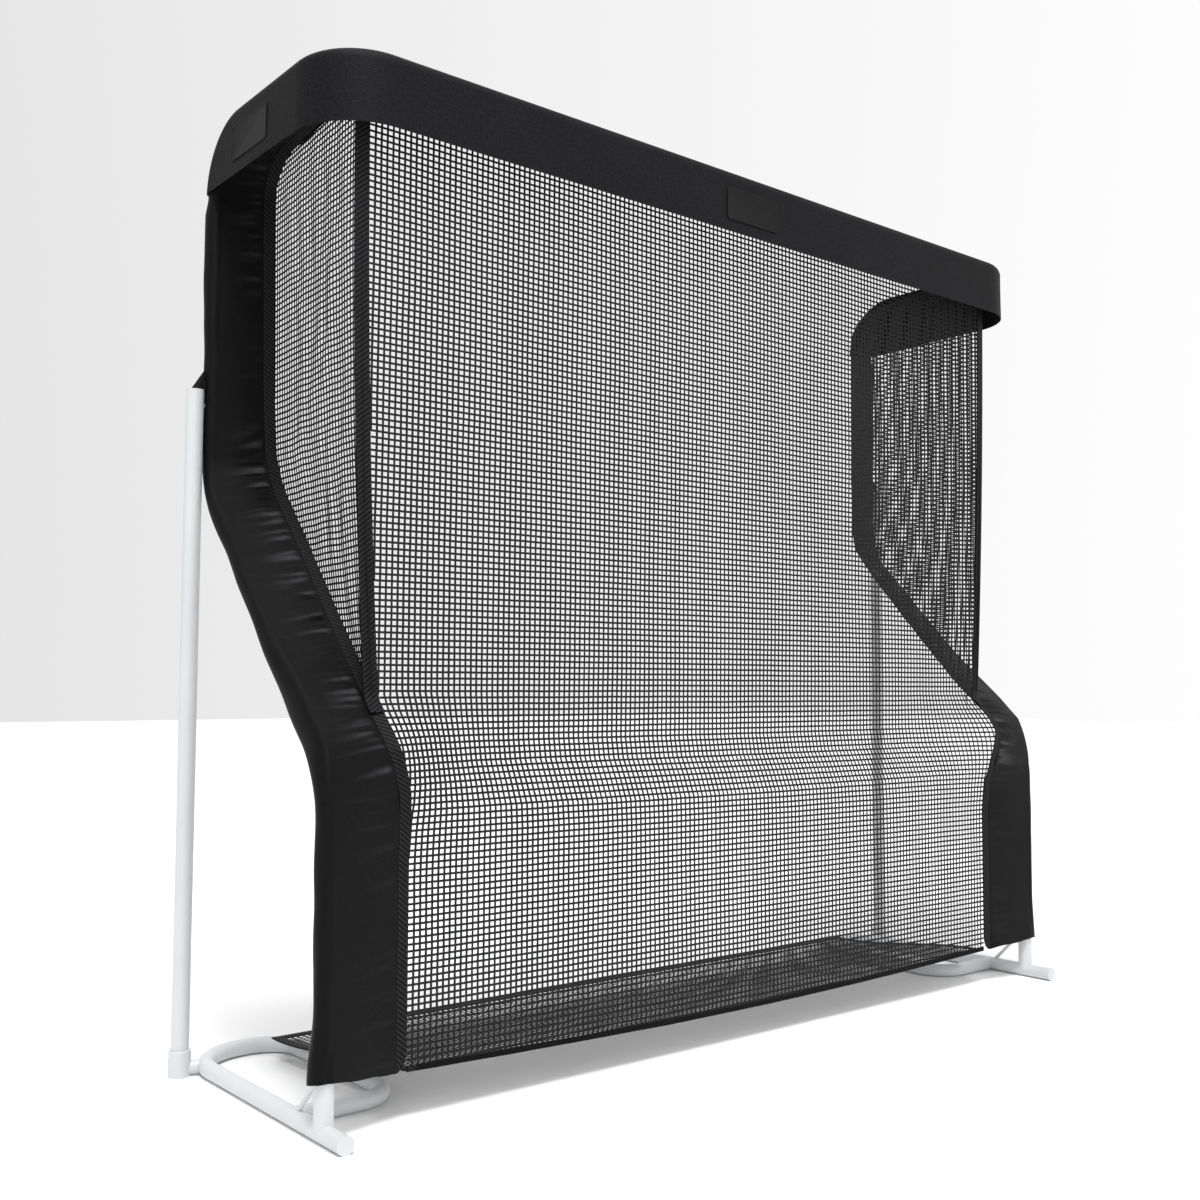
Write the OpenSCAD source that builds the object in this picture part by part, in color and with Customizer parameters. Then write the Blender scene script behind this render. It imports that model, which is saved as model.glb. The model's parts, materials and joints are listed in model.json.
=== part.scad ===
// Golf practice net: two welded floor loops carry two S-shaped uprights, which lean back
// and run over the top to a bar at the front. A net hangs from the bar, between two
// corner strips, and is joined by side nets and a floor net. Fabric covers wrap the
// uprights, and a deep fabric band wraps the top. The tubes push together, and each
// joint is held by a sprung button.
//
// Origin: centre of the footprint, on the floor. X is across, -Y is the side with the
// capped feet, and +Z is up. Millimetres.

/* [Overall] */
// Distance between the centre lines of the two uprights
span = 2400; // [2000:10:3000]
// Depth of the base, from the faces of its end caps to the back of its loops
depth = 786; // [760:2:900]
// Height to the top of the band
height = 2228; // [2100:4:2500]

/* [Tubes] */
// Outside diameter of the base's tube
base_od = 38; // [34:1:40]
// Outside diameter of the uprights, posts and top bar
frame_od = 40; // [36:1:42]
// Wall of every tube
tube_wall = 2; // [1.5:0.1:2.5]

/* [Base loops] */
// Width of a loop, between the centre lines of its long sides
loop_w = 241; // [230:1:300]
// Distance of a loop's front cross tube behind the end cap's face
loop_front = 221; // [200:1:260]
// Bend radius of a loop's outer rear corner
outer_bend_r = 136; // [100:1:140]
// Bend radius of a loop's inner rear corner
inner_bend_r = 90; // [70:1:100]
// Bend radius of a loop's front corner
front_bend_r = 84; // [60:1:100]
// Thickness of an end cap's disc
cap_t = 3; // [2:0.5:5]
// Depth that an end cap plugs into its tube
cap_plug = 16; // [10:1:25]
// Diameter of the stay rod behind each upright
stay_d = 10; // [8:0.5:14]
// Height at which the stay rod's axis meets the upright's axis
stay_top = 142; // [120:2:200]

/* [Posts] */
// Distance of a post's axis outside its upright's axis
post_out = 47; // [47:1:60]
// Distance of a post's axis in front of the loop's rear
post_inset = 90; // [80:1:96]
// Height of a post's top
post_top = 1584; // [1550:2:1700]
// Outside diameter of the socket at a post's foot
socket_od = 50; // [48:1:60]
// Height of the socket
socket_h = 60; // [45:1:90]
// Thickness of the socket's closed bottom
socket_floor = 5; // [3:0.5:10]
// Diameter of the short bar between socket and loop
link_d = 30; // [20:1:32]
// Diameter of the peg that ties a post's head to its upright
peg_d = 10; // [8:0.5:12]
// Distance of the peg below the post's top
peg_drop = 36; // [25:1:60]

/* [Uprights] */
// Distance of an upright's foot behind the end cap's face
foot_back = 91; // [80:1:110]
// Distance of an upright's upper part in front of the loop's rear
upper_inset = 89; // [70:1:110]
// Height of the corner at which the lower knee's centre lines would cross
lower_knee_z = 710; // [600:2:760]
// Height of the corner at which the upper knee's centre lines would cross
upper_knee_z = 1350; // [1300:2:1380]
// Bend radius of the lower knee
lower_knee_r = 260; // [200:5:400]
// Bend radius of the upper knee
upper_knee_r = 200; // [120:5:280]
// Bend radius between upright and top arm
top_bend_r = 150; // [120:5:200]
// Distance of the top bar's axis behind the end cap's face
bar_back = 112; // [100:1:140]
// Bend radius between top arm and top bar, seen from above
plan_bend_r = 130; // [100:5:200]

/* [Push-fit joints] */
// Height of the joint between the welded stub and the lower upright
stub_joint_z = 260; // [200:5:320]
// Distance of the joint between lower and upper upright above the upper bend's end
joint_above_bend = 20; // [10:1:60]
// Distance of the joint in a top arm behind the end cap's face
arm_joint_back = 440; // [380:5:480]
// Distance of the joint in the top bar in from the upright
bar_joint_in = 300; // [250:10:500]
// Length of the reduced end that plugs into the next tube
spigot_len = 60; // [50:1:80]
// Radial gap between a reduced end and the tube round it
spigot_gap = 0.15; // [0.1:0.01:0.3]
// Wall of a reduced end
spigot_wall = 1.6; // [1.2:0.1:2]
// Diameter of a snap button
button_d = 8; // [6:0.5:10]
// Height of a snap button above the tube
button_rise = 4; // [3:0.5:5]
// Radial clearance of a snap button in its holes
button_gap = 0.08; // [0.03:0.01:0.1]
// Thickness of the spring strip inside a joint
strip_t = 1.2; // [0.8:0.1:1.6]
// Width of the spring strip
strip_w = 9; // [7:0.5:10]

/* [Covers] */
// Thickness of the cover's padded cloth
cover_t = 2; // [1.5:0.1:2.5]
// Gap between the cover's cloth and the tube inside it
cover_gap = 1.8; // [1.6:0.1:3]
// Height of the covers' bottom edge
cover_bottom = 100; // [90:1:160]
// Distance from the upright's axis to the cover's inner edge, at the bottom
cover_w_low = 193; // [170:1:200]
// Distance from the upright's axis to the cover's inner edge, at the top
cover_w_high = 129; // [115:1:160]
// Distance of the cover's inner edge in front of the upright's axis, at the bottom
cover_lead_low = -16; // [-30:1:10]
// Distance of the cover's inner edge in front of the upright's axis, at the lower knee
cover_lead_knee = 54; // [30:1:60]
// Distance of the cover's inner edge in front of the upright's axis, on the upper part
cover_lead_high = 45; // [20:1:55]
// How far the cover's cloth stands in front of the tube, just above the lower knee
cover_bag = 26; // [0:2:40]
// Distance of the cover's inner edge below the top arm's axis
cover_lead_arm = 10; // [5:1:30]
// Width of the webbing along the cover's inner edge
trim_w = 28; // [20:1:36]
// Thickness of the webbing
trim_t = 4; // [3:0.5:5]

/* [Band] */
// Depth of the band that hangs round the top
band_h = 164; // [140:2:200]
// Thickness of the band's cloth
band_t = 2; // [1.5:0.1:3]
// Gap between the band and the covers
band_gap = 0.4; // [0.3:0.1:1]
// Width of a label patch
patch_w = 186; // [120:2:220]
// Height of a label patch
patch_h = 84; // [60:2:110]
// Distance of the side patch's middle behind the end cap's face
patch_back = 470; // [430:5:510]
// Thickness of a label patch
patch_t = 1.5; // [1:0.5:3]

/* [Nets] */
// Distance of the main net's top edge behind the end cap's face
net_back_top = 155; // [150:1:180]
// Distance of the main net's crease behind the end cap's face
net_back_mid = 165; // [160:1:200]
// Height of the main net's crease
crease_z = 760; // [730:5:800]
// Height below which the main net hangs straight to its hem
skirt_z = 600; // [560:5:640]
// Height of the main net's hem at its ends
hem_z = 100; // [95:1:120]
// Sag of the main net's hem in the middle
hem_sag = 20; // [10:1:40]
// Distance of the main net's edge in from the upright at the top
strip_in_top = 106; // [100:1:150]
// Distance of the main net's edge in from the upright where its corner strips end
strip_in_low = 150; // [130:1:160]
// Height of the corner strips' lower ends
strip_end_z = 868; // [850:2:900]
// Width of the webbing down the net's corners
strip_w_corner = 34; // [24:1:44]
// Angle by which a corner strip is turned towards its side net
strip_turn = 8; // [0:1:20]
// Thickness of the net's strands
strand_t = 4; // [3:0.5:5]
// Height of the floor net's back edge
floor_net_z = 50; // [46:1:70]
// Distance of the floor net's side in from the upright at the back
floor_net_in = 176; // [150:1:200]
// Distance of the floor net's back edge in front of the loop's rear
floor_net_inset = 96; // [86:1:150]

/* [Hidden] */
$fn = 48;

tube_white = "gainsboro";
cloth_black = [0.15, 0.15, 0.16];
webbing_black = [0.09, 0.09, 0.1];
net_black = [0.12, 0.12, 0.13];
steel = "silver";

// Small amounts: a gap that keeps curved faces apart, and an overrun for cuts.
seat = 0.3;
over = 1;

// A bend's wall is a hair thinner than a straight's, as bending draws it, and the
// straights lap a little way into it.
thinned = 0.1;
lap = 0.5;

base_r = base_od / 2;
base_ir = base_r - tube_wall;
frame_r = frame_od / 2;
frame_ir = frame_r - tube_wall;
spigot_r = frame_ir - spigot_gap;
spigot_ir = spigot_r - spigot_wall;
axis_x = span / 2;
post_x = axis_x + post_out;
post_back = depth - post_inset;
upper_back = depth - upper_inset;
bar_joint_x = axis_x - bar_joint_in;

// Distance behind the end caps' faces, as a Y coordinate.
function back(d) = d - depth / 2;

// Heights that the band's stack of cloth sets.
cover_ir = frame_r + cover_gap;
cover_or = cover_ir + cover_t;
band_ir = cover_or + band_gap;
band_or = band_ir + band_t;
arm_z = height - band_or;
band_bottom = height - band_h;

// The upright's bends.
lean = atan2(upper_back - foot_back, upper_knee_z - lower_knee_z);
lower_tangent = lower_knee_r * tan(lean / 2);
upper_tangent = upper_knee_r * tan(lean / 2);
lower_bend_z = lower_knee_z - lower_tangent;
upper_bend_z = upper_knee_z + upper_tangent;
upright_joint_z = upper_bend_z + joint_above_bend;
lean_len = norm([upper_back - foot_back, upper_knee_z - lower_knee_z])
    - lower_tangent - upper_tangent;
top_bend_z = arm_z - top_bend_r;
arm_len = upper_back - top_bend_r - bar_back - plan_bend_r;
arm_len_rear = upper_back - top_bend_r - arm_joint_back;
plan_x = axis_x - plan_bend_r;

// Each upright as steps along its axis, from the base's axis upwards. A bend's last
// number is the roll of its plane about the axis.
upright_steps = [
    ["go", stub_joint_z - base_r],
    ["go", lower_bend_z - stub_joint_z],
    ["bend", lower_knee_r, lean, 90],
    ["go", lean_len],
    ["bend", upper_knee_r, lean, 180],
    ["go", upright_joint_z - upper_bend_z],
    ["go", top_bend_z - upright_joint_z],
    ["bend", top_bend_r, 90, 0],
    ["go", arm_len_rear],
    ["go", arm_len - arm_len_rear],
    ["bend", plan_bend_r, 90, -90],
    ["go", plan_x - bar_joint_x],
    ["go", bar_joint_x]];
STUB = [0, 0];
LOWER = [1, 5];
UPPER = [6, 8];
CORNER = [9, 11];
BAR = [12, 12];

// Each loop as steps from its end cap, round the back and to the front cross tube.
loop_steps = [
    ["go", depth - cap_t - base_r - outer_bend_r],
    ["bend", outer_bend_r, 90, 180],
    ["go", loop_w - outer_bend_r - inner_bend_r],
    ["bend", inner_bend_r, 90, 0],
    ["go", depth - base_r - inner_bend_r - loop_front - front_bend_r],
    ["bend", front_bend_r, 90, 0],
    ["go", loop_w - front_bend_r]];

// ---- Tube parts ----

// A straight length of tube along +Z.
module pipe(r, ir, len) {
    difference() {
        cylinder(h = len, r = r);
        if (ir > 0) translate([0, 0, -over]) cylinder(h = len + 2 * over, r = ir);
    }
}

// A bend that starts along +Z and turns towards +X.
module elbow(r, ir, bend_r, angle) {
    translate([bend_r, 0, 0]) mirror([1, 0, 0]) rotate([90, 0, 0])
        rotate_extrude(angle = angle, $fn = 96)
            translate([bend_r, 0]) difference() {
                circle(r = r, $fn = 48);
                if (ir > 0) circle(r = ir, $fn = 48);
            }
}

// Draws the steps whose numbers lie in span_of, and only moves along the others.
module run(steps, span_of, r, ir, i = 0) {
    if (i <= span_of[1]) {
        s = steps[i];
        drawn = i >= span_of[0];
        if (s[0] == "go") {
            before = i > span_of[0] ? lap : 0;
            after = i < span_of[1] ? lap : 0;
            if (drawn) translate([0, 0, -before]) pipe(r, ir, s[1] + before + after);
            translate([0, 0, s[1]]) run(steps, span_of, r, ir, i + 1);
        } else rotate([0, 0, s[3]]) {
            if (drawn) elbow(r - thinned, ir > 0 ? ir + thinned : 0, s[1], s[2]);
            translate([s[1], 0, 0]) rotate([0, s[2], 0]) translate([-s[1], 0, 0])
                run(steps, span_of, r, ir, i + 1);
        }
    }
}

// Puts children at the end of step number last, with +Z along the axis.
module at_step(steps, last, i = 0) {
    if (i > last) children();
    else {
        s = steps[i];
        if (s[0] == "go") translate([0, 0, s[1]]) at_step(steps, last, i + 1) children();
        else rotate([0, 0, s[3]]) translate([s[1], 0, 0]) rotate([0, s[2], 0])
            translate([-s[1], 0, 0]) at_step(steps, last, i + 1) children();
    }
}

module sided(side) {
    mirror([side < 0 ? 1 : 0, 0, 0]) children();
}

module on_upright() {
    translate([axis_x, back(foot_back), base_r]) children();
}

// The reduced end of a tube, from its shoulder at z = 0 up into the next tube.
module spigot() {
    pipe(spigot_r, spigot_ir, spigot_len);
    difference() {
        translate([0, 0, -tube_wall]) cylinder(h = tube_wall, r = frame_r - tube_wall / 2);
        translate([0, 0, -tube_wall - over]) cylinder(h = tube_wall + 2 * over, r = spigot_ir);
    }
}

button_z = spigot_len / 2;

// The holes for a snap button, along local +X.
module button_hole() {
    translate([0, 0, button_z]) rotate([0, 90, 0])
        cylinder(h = frame_r + over, d = button_d + 2 * button_gap);
}

// Snap button: a domed pin on the free arm of its spring strip.
arm_gap = 3 * strip_t + 2 * seat;
arm_in = spigot_ir - arm_gap;
arm_len_strip = spigot_len / 3;
module snap_button() {
    translate([0, 0, button_z]) {
        rotate([0, 90, 0]) rotate_extrude() polygon(concat(
            [[0, arm_in - strip_t / 2], [button_d / 2, arm_in - strip_t / 2]],
            [for (a = [0 : 15 : 90])
                [button_d / 2 - 2 + 2 * cos(a), frame_r + button_rise - 2 + 2 * sin(a)]],
            [[0, frame_r + button_rise]]));
        translate([arm_in - strip_t, -strip_w / 2, -strip_w / 2])
            cube([strip_t, strip_w, arm_len_strip + strip_w / 2]);
    }
}

// The fixed part of the spring strip: a leg along the far wall and the nose that
// bends back to the button's arm.
module spring_clip() {
    leg_in = sqrt(spigot_ir * spigot_ir - strip_w * strip_w / 4) - seat;
    nose_r = (arm_in + leg_in) / 2;
    nose_z = button_z + arm_len_strip + seat;
    translate([-leg_in, -strip_w / 2, button_z - strip_w])
        cube([strip_t, strip_w, nose_z - button_z + strip_w]);
    translate([arm_in - nose_r, 0, nose_z]) rotate([90, 0, 0])
        rotate_extrude(angle = 180) translate([nose_r - strip_t, -strip_w / 2]) square([strip_t, strip_w]);
}

// ---- Base ----

module base_loop(side) {
    color(tube_white) sided(side) difference() {
        union() {
            translate([axis_x, back(cap_t), base_r]) rotate([-90, 0, 0])
                run(loop_steps, [0, 5], base_r, base_ir);
            // The cross tube is coped into the long tube's wall.
            difference() {
                translate([axis_x, back(cap_t), base_r]) rotate([-90, 0, 0])
                    run(loop_steps, [6, 6], base_r, base_ir);
                translate([axis_x, back(0), base_r]) rotate([-90, 0, 0])
                    cylinder(h = depth, r = base_r - tube_wall / 2);
            }
        }
    }
}

module end_cap(r, ir) {
    cylinder(h = cap_t, r = r);
    translate([0, 0, cap_t - over]) cylinder(h = cap_plug + over, r = ir - seat);
}

module base_end_cap(side) {
    color(tube_white) sided(side) translate([axis_x, back(0), base_r])
        rotate([-90, 0, 0]) end_cap(base_r, base_ir);
}

module upright_stub(side) {
    color(tube_white) sided(side) difference() {
        union() {
            on_upright() run(upright_steps, STUB, frame_r, frame_ir);
            on_upright() at_step(upright_steps, STUB[1]) spigot();
        }
        translate([axis_x, back(0), base_r]) rotate([-90, 0, 0])
            cylinder(h = depth, r = base_r + seat / 3);
        on_upright() at_step(upright_steps, STUB[1]) rotate([0, 0, 180]) button_hole();
    }
}

module stay_line(d) {
    translate([axis_x, back(foot_back), stay_top]) rotate([-135, 0, 0])
        cylinder(h = 2 * stay_top, d = d);
}

// A straight rod from the upright down to the top of the long tube.
module stay_rod(side) {
    color(tube_white) sided(side) difference() {
        stay_line(stay_d);
        translate([axis_x, back(foot_back), 0])
            cylinder(h = stub_joint_z, r = frame_r + seat / 3);
        translate([axis_x, back(0), base_r]) rotate([-90, 0, 0])
            cylinder(h = depth, r = base_r + seat / 3);
        translate([axis_x, back(foot_back), -depth])
            translate([-stay_d, 0, 0]) cube([2 * stay_d, 2 * depth, depth + base_r]);
    }
}

// ---- Posts ----

module post_socket(side) {
    color(tube_white) sided(side) translate([post_x, back(post_back), 0]) difference() {
        union() {
            cylinder(h = socket_h - 2, d = socket_od);
            translate([0, 0, socket_h - 2]) cylinder(h = 2, d1 = socket_od, d2 = socket_od - 3);
        }
        translate([0, 0, socket_floor]) cylinder(h = socket_h, r = frame_r + seat / 3);
    }
}

// The link points from the socket's axis to the centre of the loop's outer rear bend.
bend_centre = [axis_x - outer_bend_r, back(depth - base_r - outer_bend_r)];
link_dir = bend_centre - [post_x, back(post_back)];
link_angle = atan2(link_dir[1], link_dir[0]);

module socket_link(side) {
    color(tube_white) sided(side) difference() {
        translate([post_x, back(post_back), base_r]) rotate([0, 0, link_angle])
            rotate([0, 90, 0]) cylinder(h = norm(link_dir) - outer_bend_r, d = link_d);
        translate([post_x, back(post_back), -over])
            cylinder(h = socket_h, d = socket_od + seat / 1.5);
        translate([bend_centre[0], bend_centre[1], base_r]) rotate([0, 0, -over])
            rotate_extrude(angle = 90 + 2 * over, $fn = 96)
                translate([outer_bend_r, 0]) circle(r = base_r + seat / 3, $fn = 48);
    }
}

// The peg points from the post's axis to the upright's axis.
peg_dir = [-post_out, upper_back - post_back];
peg_angle = atan2(peg_dir[1], peg_dir[0]);
peg_z = post_top - peg_drop;

module peg_rod(d, from, to) {
    translate([post_x, back(post_back), peg_z]) rotate([0, 0, peg_angle])
        rotate([0, 90, 0]) translate([0, 0, from]) cylinder(h = to - from, d = d);
}

module post(side) {
    color(tube_white) sided(side) difference() {
        translate([post_x, back(post_back), socket_floor])
            pipe(frame_r, frame_ir, post_top - cap_t - socket_floor);
        peg_rod(peg_d + 2 * button_gap, 0, frame_od);
    }
}

module post_cap(side) {
    color(tube_white) sided(side) translate([post_x, back(post_back), post_top])
        mirror([0, 0, 1]) end_cap(frame_r, frame_ir);
}

module post_peg(side) {
    color(steel) sided(side)
        peg_rod(peg_d, frame_ir - 2 * tube_wall, norm(peg_dir) - frame_ir + 2 * tube_wall);
}

// ---- Uprights, top arms and top bar ----

// One tube between two joints: its steps, its spigot and both sets of button holes.
module frame_tube(side, steps_of, reduced) {
    color(tube_white) sided(side) on_upright() difference() {
        union() {
            run(upright_steps, steps_of, frame_r, frame_ir);
            if (reduced) at_step(upright_steps, steps_of[1]) spigot();
        }
        at_step(upright_steps, steps_of[0] - 1) joint_roll(steps_of[0]) button_hole();
        if (reduced)
            at_step(upright_steps, steps_of[1]) joint_roll(steps_of[1] + 1) button_hole();
    }
}

// Turns a joint's button towards the middle of the net on the uprights and top arms,
// and down on the top bar.
module joint_roll(first_step) {
    turn = first_step == STUB[1] + 1 ? 180
        : first_step == BAR[0] ? 90
        : first_step == LOWER[1] + 1 ? -90
        : first_step == UPPER[1] + 1 ? -90 : 0;
    rotate([0, 0, turn]) children();
}

module lower_upright(side) {
    frame_tube(side, LOWER, true);
}

module upper_upright(side) {
    difference() {
        frame_tube(side, UPPER, true);
        sided(side) peg_rod(peg_d + 2 * button_gap, 0, norm(peg_dir));
    }
}

module corner_tube(side) {
    frame_tube(side, CORNER, true);
}

module top_bar(side) {
    color(tube_white) difference() {
        frame_tube(side, BAR, false);
        sided(side) coupler_end() button_hole();
    }
}

// Puts children at the middle of the top bar, with +Z along the bar's right half.
module coupler_end() {
    translate([0, back(bar_back), arm_z]) rotate([0, 90, 0]) children();
}

module centre_coupler() {
    color(tube_white) difference() {
        translate([-spigot_len, back(bar_back), arm_z]) rotate([0, 90, 0])
            pipe(spigot_r, spigot_ir, 2 * spigot_len);
        for (side = [-1, 1]) sided(side) coupler_end() button_hole();
    }
}

// Puts children at the named joint of one side.
module at_joint(side, first_step) {
    sided(side) on_upright() at_step(upright_steps, first_step - 1)
        joint_roll(first_step) children();
}

module joint_button(side, first_step) {
    color(steel) at_joint(side, first_step) snap_button();
}

module coupler_button(side) {
    color(steel) sided(side) coupler_end() snap_button();
}

module spring_clips() {
    color(steel) for (side = [-1, 1]) {
        for (first_step = [LOWER[0], UPPER[0], CORNER[0], BAR[0]])
            at_joint(side, first_step) spring_clip();
        sided(side) coupler_end() spring_clip();
    }
}

// ---- Cloth along the uprights ----

// A closed sheet between two grids of points, row by row, either of which may be the
// outer one.
module sheet(near, far) {
    facing = cross(near[0][1] - near[0][0], near[1][0] - near[0][0])
        * (near[0][0] - far[0][0]) > 0;
    outer = facing ? near : far;
    inner = facing ? far : near;
    rows = len(outer);
    cols = len(outer[0]);
    m = rows * cols;
    quads = concat(
        [for (r = [0 : rows - 2], c = [0 : cols - 2]) let (a = r * cols + c)
            [a, a + cols, a + cols + 1, a + 1]],
        [for (r = [0 : rows - 2], c = [0 : cols - 2]) let (a = m + r * cols + c)
            [a, a + 1, a + cols + 1, a + cols]],
        [for (r = [0 : rows - 2]) let (a = r * cols) [a, a + m, a + m + cols, a + cols]],
        [for (r = [0 : rows - 2]) let (a = r * cols + cols - 1)
            [a, a + cols, a + m + cols, a + m]],
        [for (c = [0 : cols - 2]) [c, c + 1, c + m + 1, c + m]],
        [for (c = [0 : cols - 2]) let (a = m - cols + c) [a, a + m, a + m + 1, a + 1]]);
    polyhedron(concat([for (r = outer) each r], [for (r = inner) each r]),
        [for (q = quads) each [[q[0], q[1], q[2]], [q[0], q[2], q[3]]]]);
}

function mix(a, b, t) = a + (b - a) * t;
function ease(t) = let (u = min(1, max(0, t))) u * u * (3 - 2 * u);

upper_y = back(upper_back);
foot_y = back(foot_back);
arm_end_y = back(bar_back + plan_bend_r);
lower_centre_y = foot_y + lower_knee_r;
upper_centre_y = upper_y - upper_knee_r;

// Share of the cover's narrowing that is done over the lower knee, and the shares at
// which its edge and its cloth stand furthest forward.
knee_share = 0.7;
lead_share = 0.5;
bag_share = 0.8;

// Places along the upright's axis: [y, z, lean, share of the way from low to high,
// share of the way from upright to arm].
stations = concat(
    [for (i = [0 : 3]) [foot_y, mix(cover_bottom, lower_bend_z, i / 3), 0, 0, 0]],
    [for (i = [1 : 5]) let (a = lean * i / 5)
        [lower_centre_y - lower_knee_r * cos(a), lower_bend_z + lower_knee_r * sin(a), a,
            knee_share * i / 5, 0]],
    [for (i = [1 : 5]) let (y0 = lower_centre_y - lower_knee_r * cos(lean),
        z0 = lower_bend_z + lower_knee_r * sin(lean), s = lean_len * i / 5)
        [y0 + s * sin(lean), z0 + s * cos(lean), lean,
            min(1, mix(knee_share, 1, 2 * i / 5)), 0]],
    [for (i = [1 : 5]) let (a = lean * (1 - i / 5))
        [upper_centre_y + upper_knee_r * cos(a), upper_bend_z - upper_knee_r * sin(a), a,
            1, 0]],
    [for (i = [1 : 3]) [upper_y, mix(upper_bend_z, top_bend_z, i / 3), 0, 1, 0]],
    [for (i = [1 : 8]) let (a = 90 * i / 8)
        [upper_y - top_bend_r * (1 - cos(a)), top_bend_z + top_bend_r * sin(a), -a, 1, i / 8]],
    [for (i = [1 : 2]) [mix(upper_y - top_bend_r, arm_end_y, i / 2), arm_z, -90, 1, 1]]);

// The cover's edge stands furthest in front of the axis where the knee pulls the cloth.
leads = [[0, cover_lead_low], [lead_share, cover_lead_knee], [1, cover_lead_high]];
bags = [[lead_share / 2, 0], [bag_share, cover_bag], [1, 0]];

function edge_w(s) = mix(cover_w_low, cover_w_high, s[3]);
function edge_lead(s) = mix(lookup(s[3], leads), cover_lead_arm, s[4]);

// A point of a station's section, u towards the middle of the net and v forwards.
function on_section(s, u, v) =
    [axis_x - u, s[0] - v * cos(s[2]), s[1] + v * sin(s[2])];

// Half the webbing's thickness.
edge_half = trim_t / 2;

// One layer's outline: from the front of the inner edge, round the tube and back.
function wrap(s, r, half) =
    let (w = edge_w(s), lead = edge_lead(s), reach = norm([w, lead]),
        k = (reach - trim_w - seat) / reach, ew = w * k, el = lead * k,
        dir = atan2(el, ew), open = acos(r / norm([ew, el])), turns = 8,
        bag = lookup(s[3], bags))
    concat([on_section(s, ew - half * sin(dir), el + half * cos(dir))],
        [for (i = [0 : turns]) let (a = dir + open + i * (360 - 2 * open) / turns)
            on_section(s, r * cos(a), r * sin(a) + bag * max(0, sin(a)))],
        [on_section(s, ew + half * sin(dir), el - half * cos(dir))]);

// The cover has openings for the stay rod and for the post's peg.
module upright_cover(side) {
    color(cloth_black) sided(side) difference() {
        sheet([for (s = stations) wrap(s, cover_or, edge_half)],
            [for (s = stations) wrap(s, cover_ir, edge_half / 8)]);
        stay_line(stay_d + 4 * seat);
        peg_rod(peg_d + 4 * seat, frame_r, post_out);
    }
}

// The webbing's section, from its outer edge to its edge at the net.
function trim_row(s, v) =
    let (w = edge_w(s), lead = edge_lead(s), reach = norm([w, lead]),
        k = (reach - trim_w) / reach, nw = lead / reach, nl = w / reach)
    [on_section(s, w * k - v * nw, lead * k + v * nl), on_section(s, w - v * nw, lead + v * nl)];

// The webbing runs on past the cover to the net's corner.
trim_end = [back(net_back_top) + trim_t, arm_z, -90, 1, 1];

module cover_trim(side) {
    rows = concat(stations, [trim_end]);
    color(webbing_black) sided(side) sheet(
        [for (s = rows) trim_row(s, edge_half)],
        [for (s = rows) trim_row(s, -edge_half)]);
}

function edge_point(s) = on_section(s, edge_w(s), edge_lead(s));

// A flat piece of cloth between the end of the cover and the net's corner.
module corner_gusset(side) {
    front_y = back(net_back_top) + trim_t;
    inside_bend = plan_bend_r - frame_r - 2 * seat;
    inner_x = axis_x - cover_w_high + trim_w + seat;
    outer_x = plan_x + sqrt(pow(inside_bend, 2) - pow(arm_end_y - front_y, 2));
    color(cloth_black) sided(side)
        translate([inner_x, front_y, arm_z - cover_lead_arm - cover_t / 2])
            cube([outer_x - inner_x, arm_end_y - front_y - seat, cover_t]);
}

// A three-cornered flap that covers the post's head.
flap_h = 92;
flap_round = 2;
module post_flap(side) {
    low = post_top + seat + flap_round;
    inner = axis_x + cover_or + seat + flap_round;
    color(cloth_black) sided(side) hull()
        for (p = [[post_x + frame_r / 2, low], [inner, low], [inner, low + flap_h]])
            translate([p[0], back(post_back), p[1]]) rotate([90, 0, 0])
                cylinder(h = frame_r, r = flap_round, center = true, $fn = 12);
}

// ---- Band ----

// The area inside the bar and arms, seen from above and grown by r.
module plan_area(r) {
    front_y = back(bar_back) - r;
    corner_r = plan_bend_r + r;
    translate([-axis_x - r, front_y + corner_r]) square([2 * (axis_x + r), depth]);
    translate([-plan_x, front_y]) square([2 * plan_x, depth]);
    for (x = [-plan_x, plan_x]) translate([x, front_y + corner_r]) circle(r = corner_r, $fn = 96);
}

// The area below the top arm and in front of the upright, seen from +X.
module side_area(r) {
    corner_r = top_bend_r + r;
    top = arm_z + r;
    translate([-depth, band_bottom - over]) square([depth + upper_y - top_bend_r,
        top - band_bottom + over]);
    translate([-depth, band_bottom - over]) square([depth + upper_y + r,
        top - corner_r - band_bottom + over]);
    translate([upper_y - top_bend_r, top - corner_r]) circle(r = corner_r, $fn = 96);
}

// A box-like solid with the band's rounded corners.
module band_block(r) {
    intersection() {
        translate([0, 0, band_bottom]) linear_extrude(arm_z + r - band_bottom) plan_area(r);
        translate([-span, 0, 0]) rotate([90, 0, 90]) linear_extrude(2 * span) side_area(r);
    }
}

lip = net_back_top - bar_back + trim_t + band_t;

module top_band() {
    color(cloth_black) difference() {
        band_block(band_or);
        translate([0, 0, -over]) band_block(band_ir);
        band_block(band_ir);
        translate([0, 0, band_bottom - over]) linear_extrude(height) plan_area(-lip);
    }
}

// Blank patches on the band's front and on its left end.
patch_z = (band_bottom + height) / 2 - 9;
module label_patches() {
    color(webbing_black) {
        translate([0, back(bar_back) - band_or - seat, patch_z])
            patch();
        translate([-axis_x - band_or - seat, back(patch_back), patch_z])
            rotate([0, 0, -90]) patch();
    }
}

module patch() {
    rotate([90, 0, 0]) linear_extrude(patch_t) offset(r = 8) offset(delta = -8)
        square([patch_w, patch_h], center = true);
}

// ---- Nets ----

skirt_back = foot_back - cover_lead_low;
header_h = 40;
header_top = height - band_t - seat;
header_bottom = header_top - header_h;
half = strand_t / 2;
net_top = header_bottom - seat - half;
strip_x_top = axis_x - strip_in_top;
strip_x_low = axis_x - strip_in_low;

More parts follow.
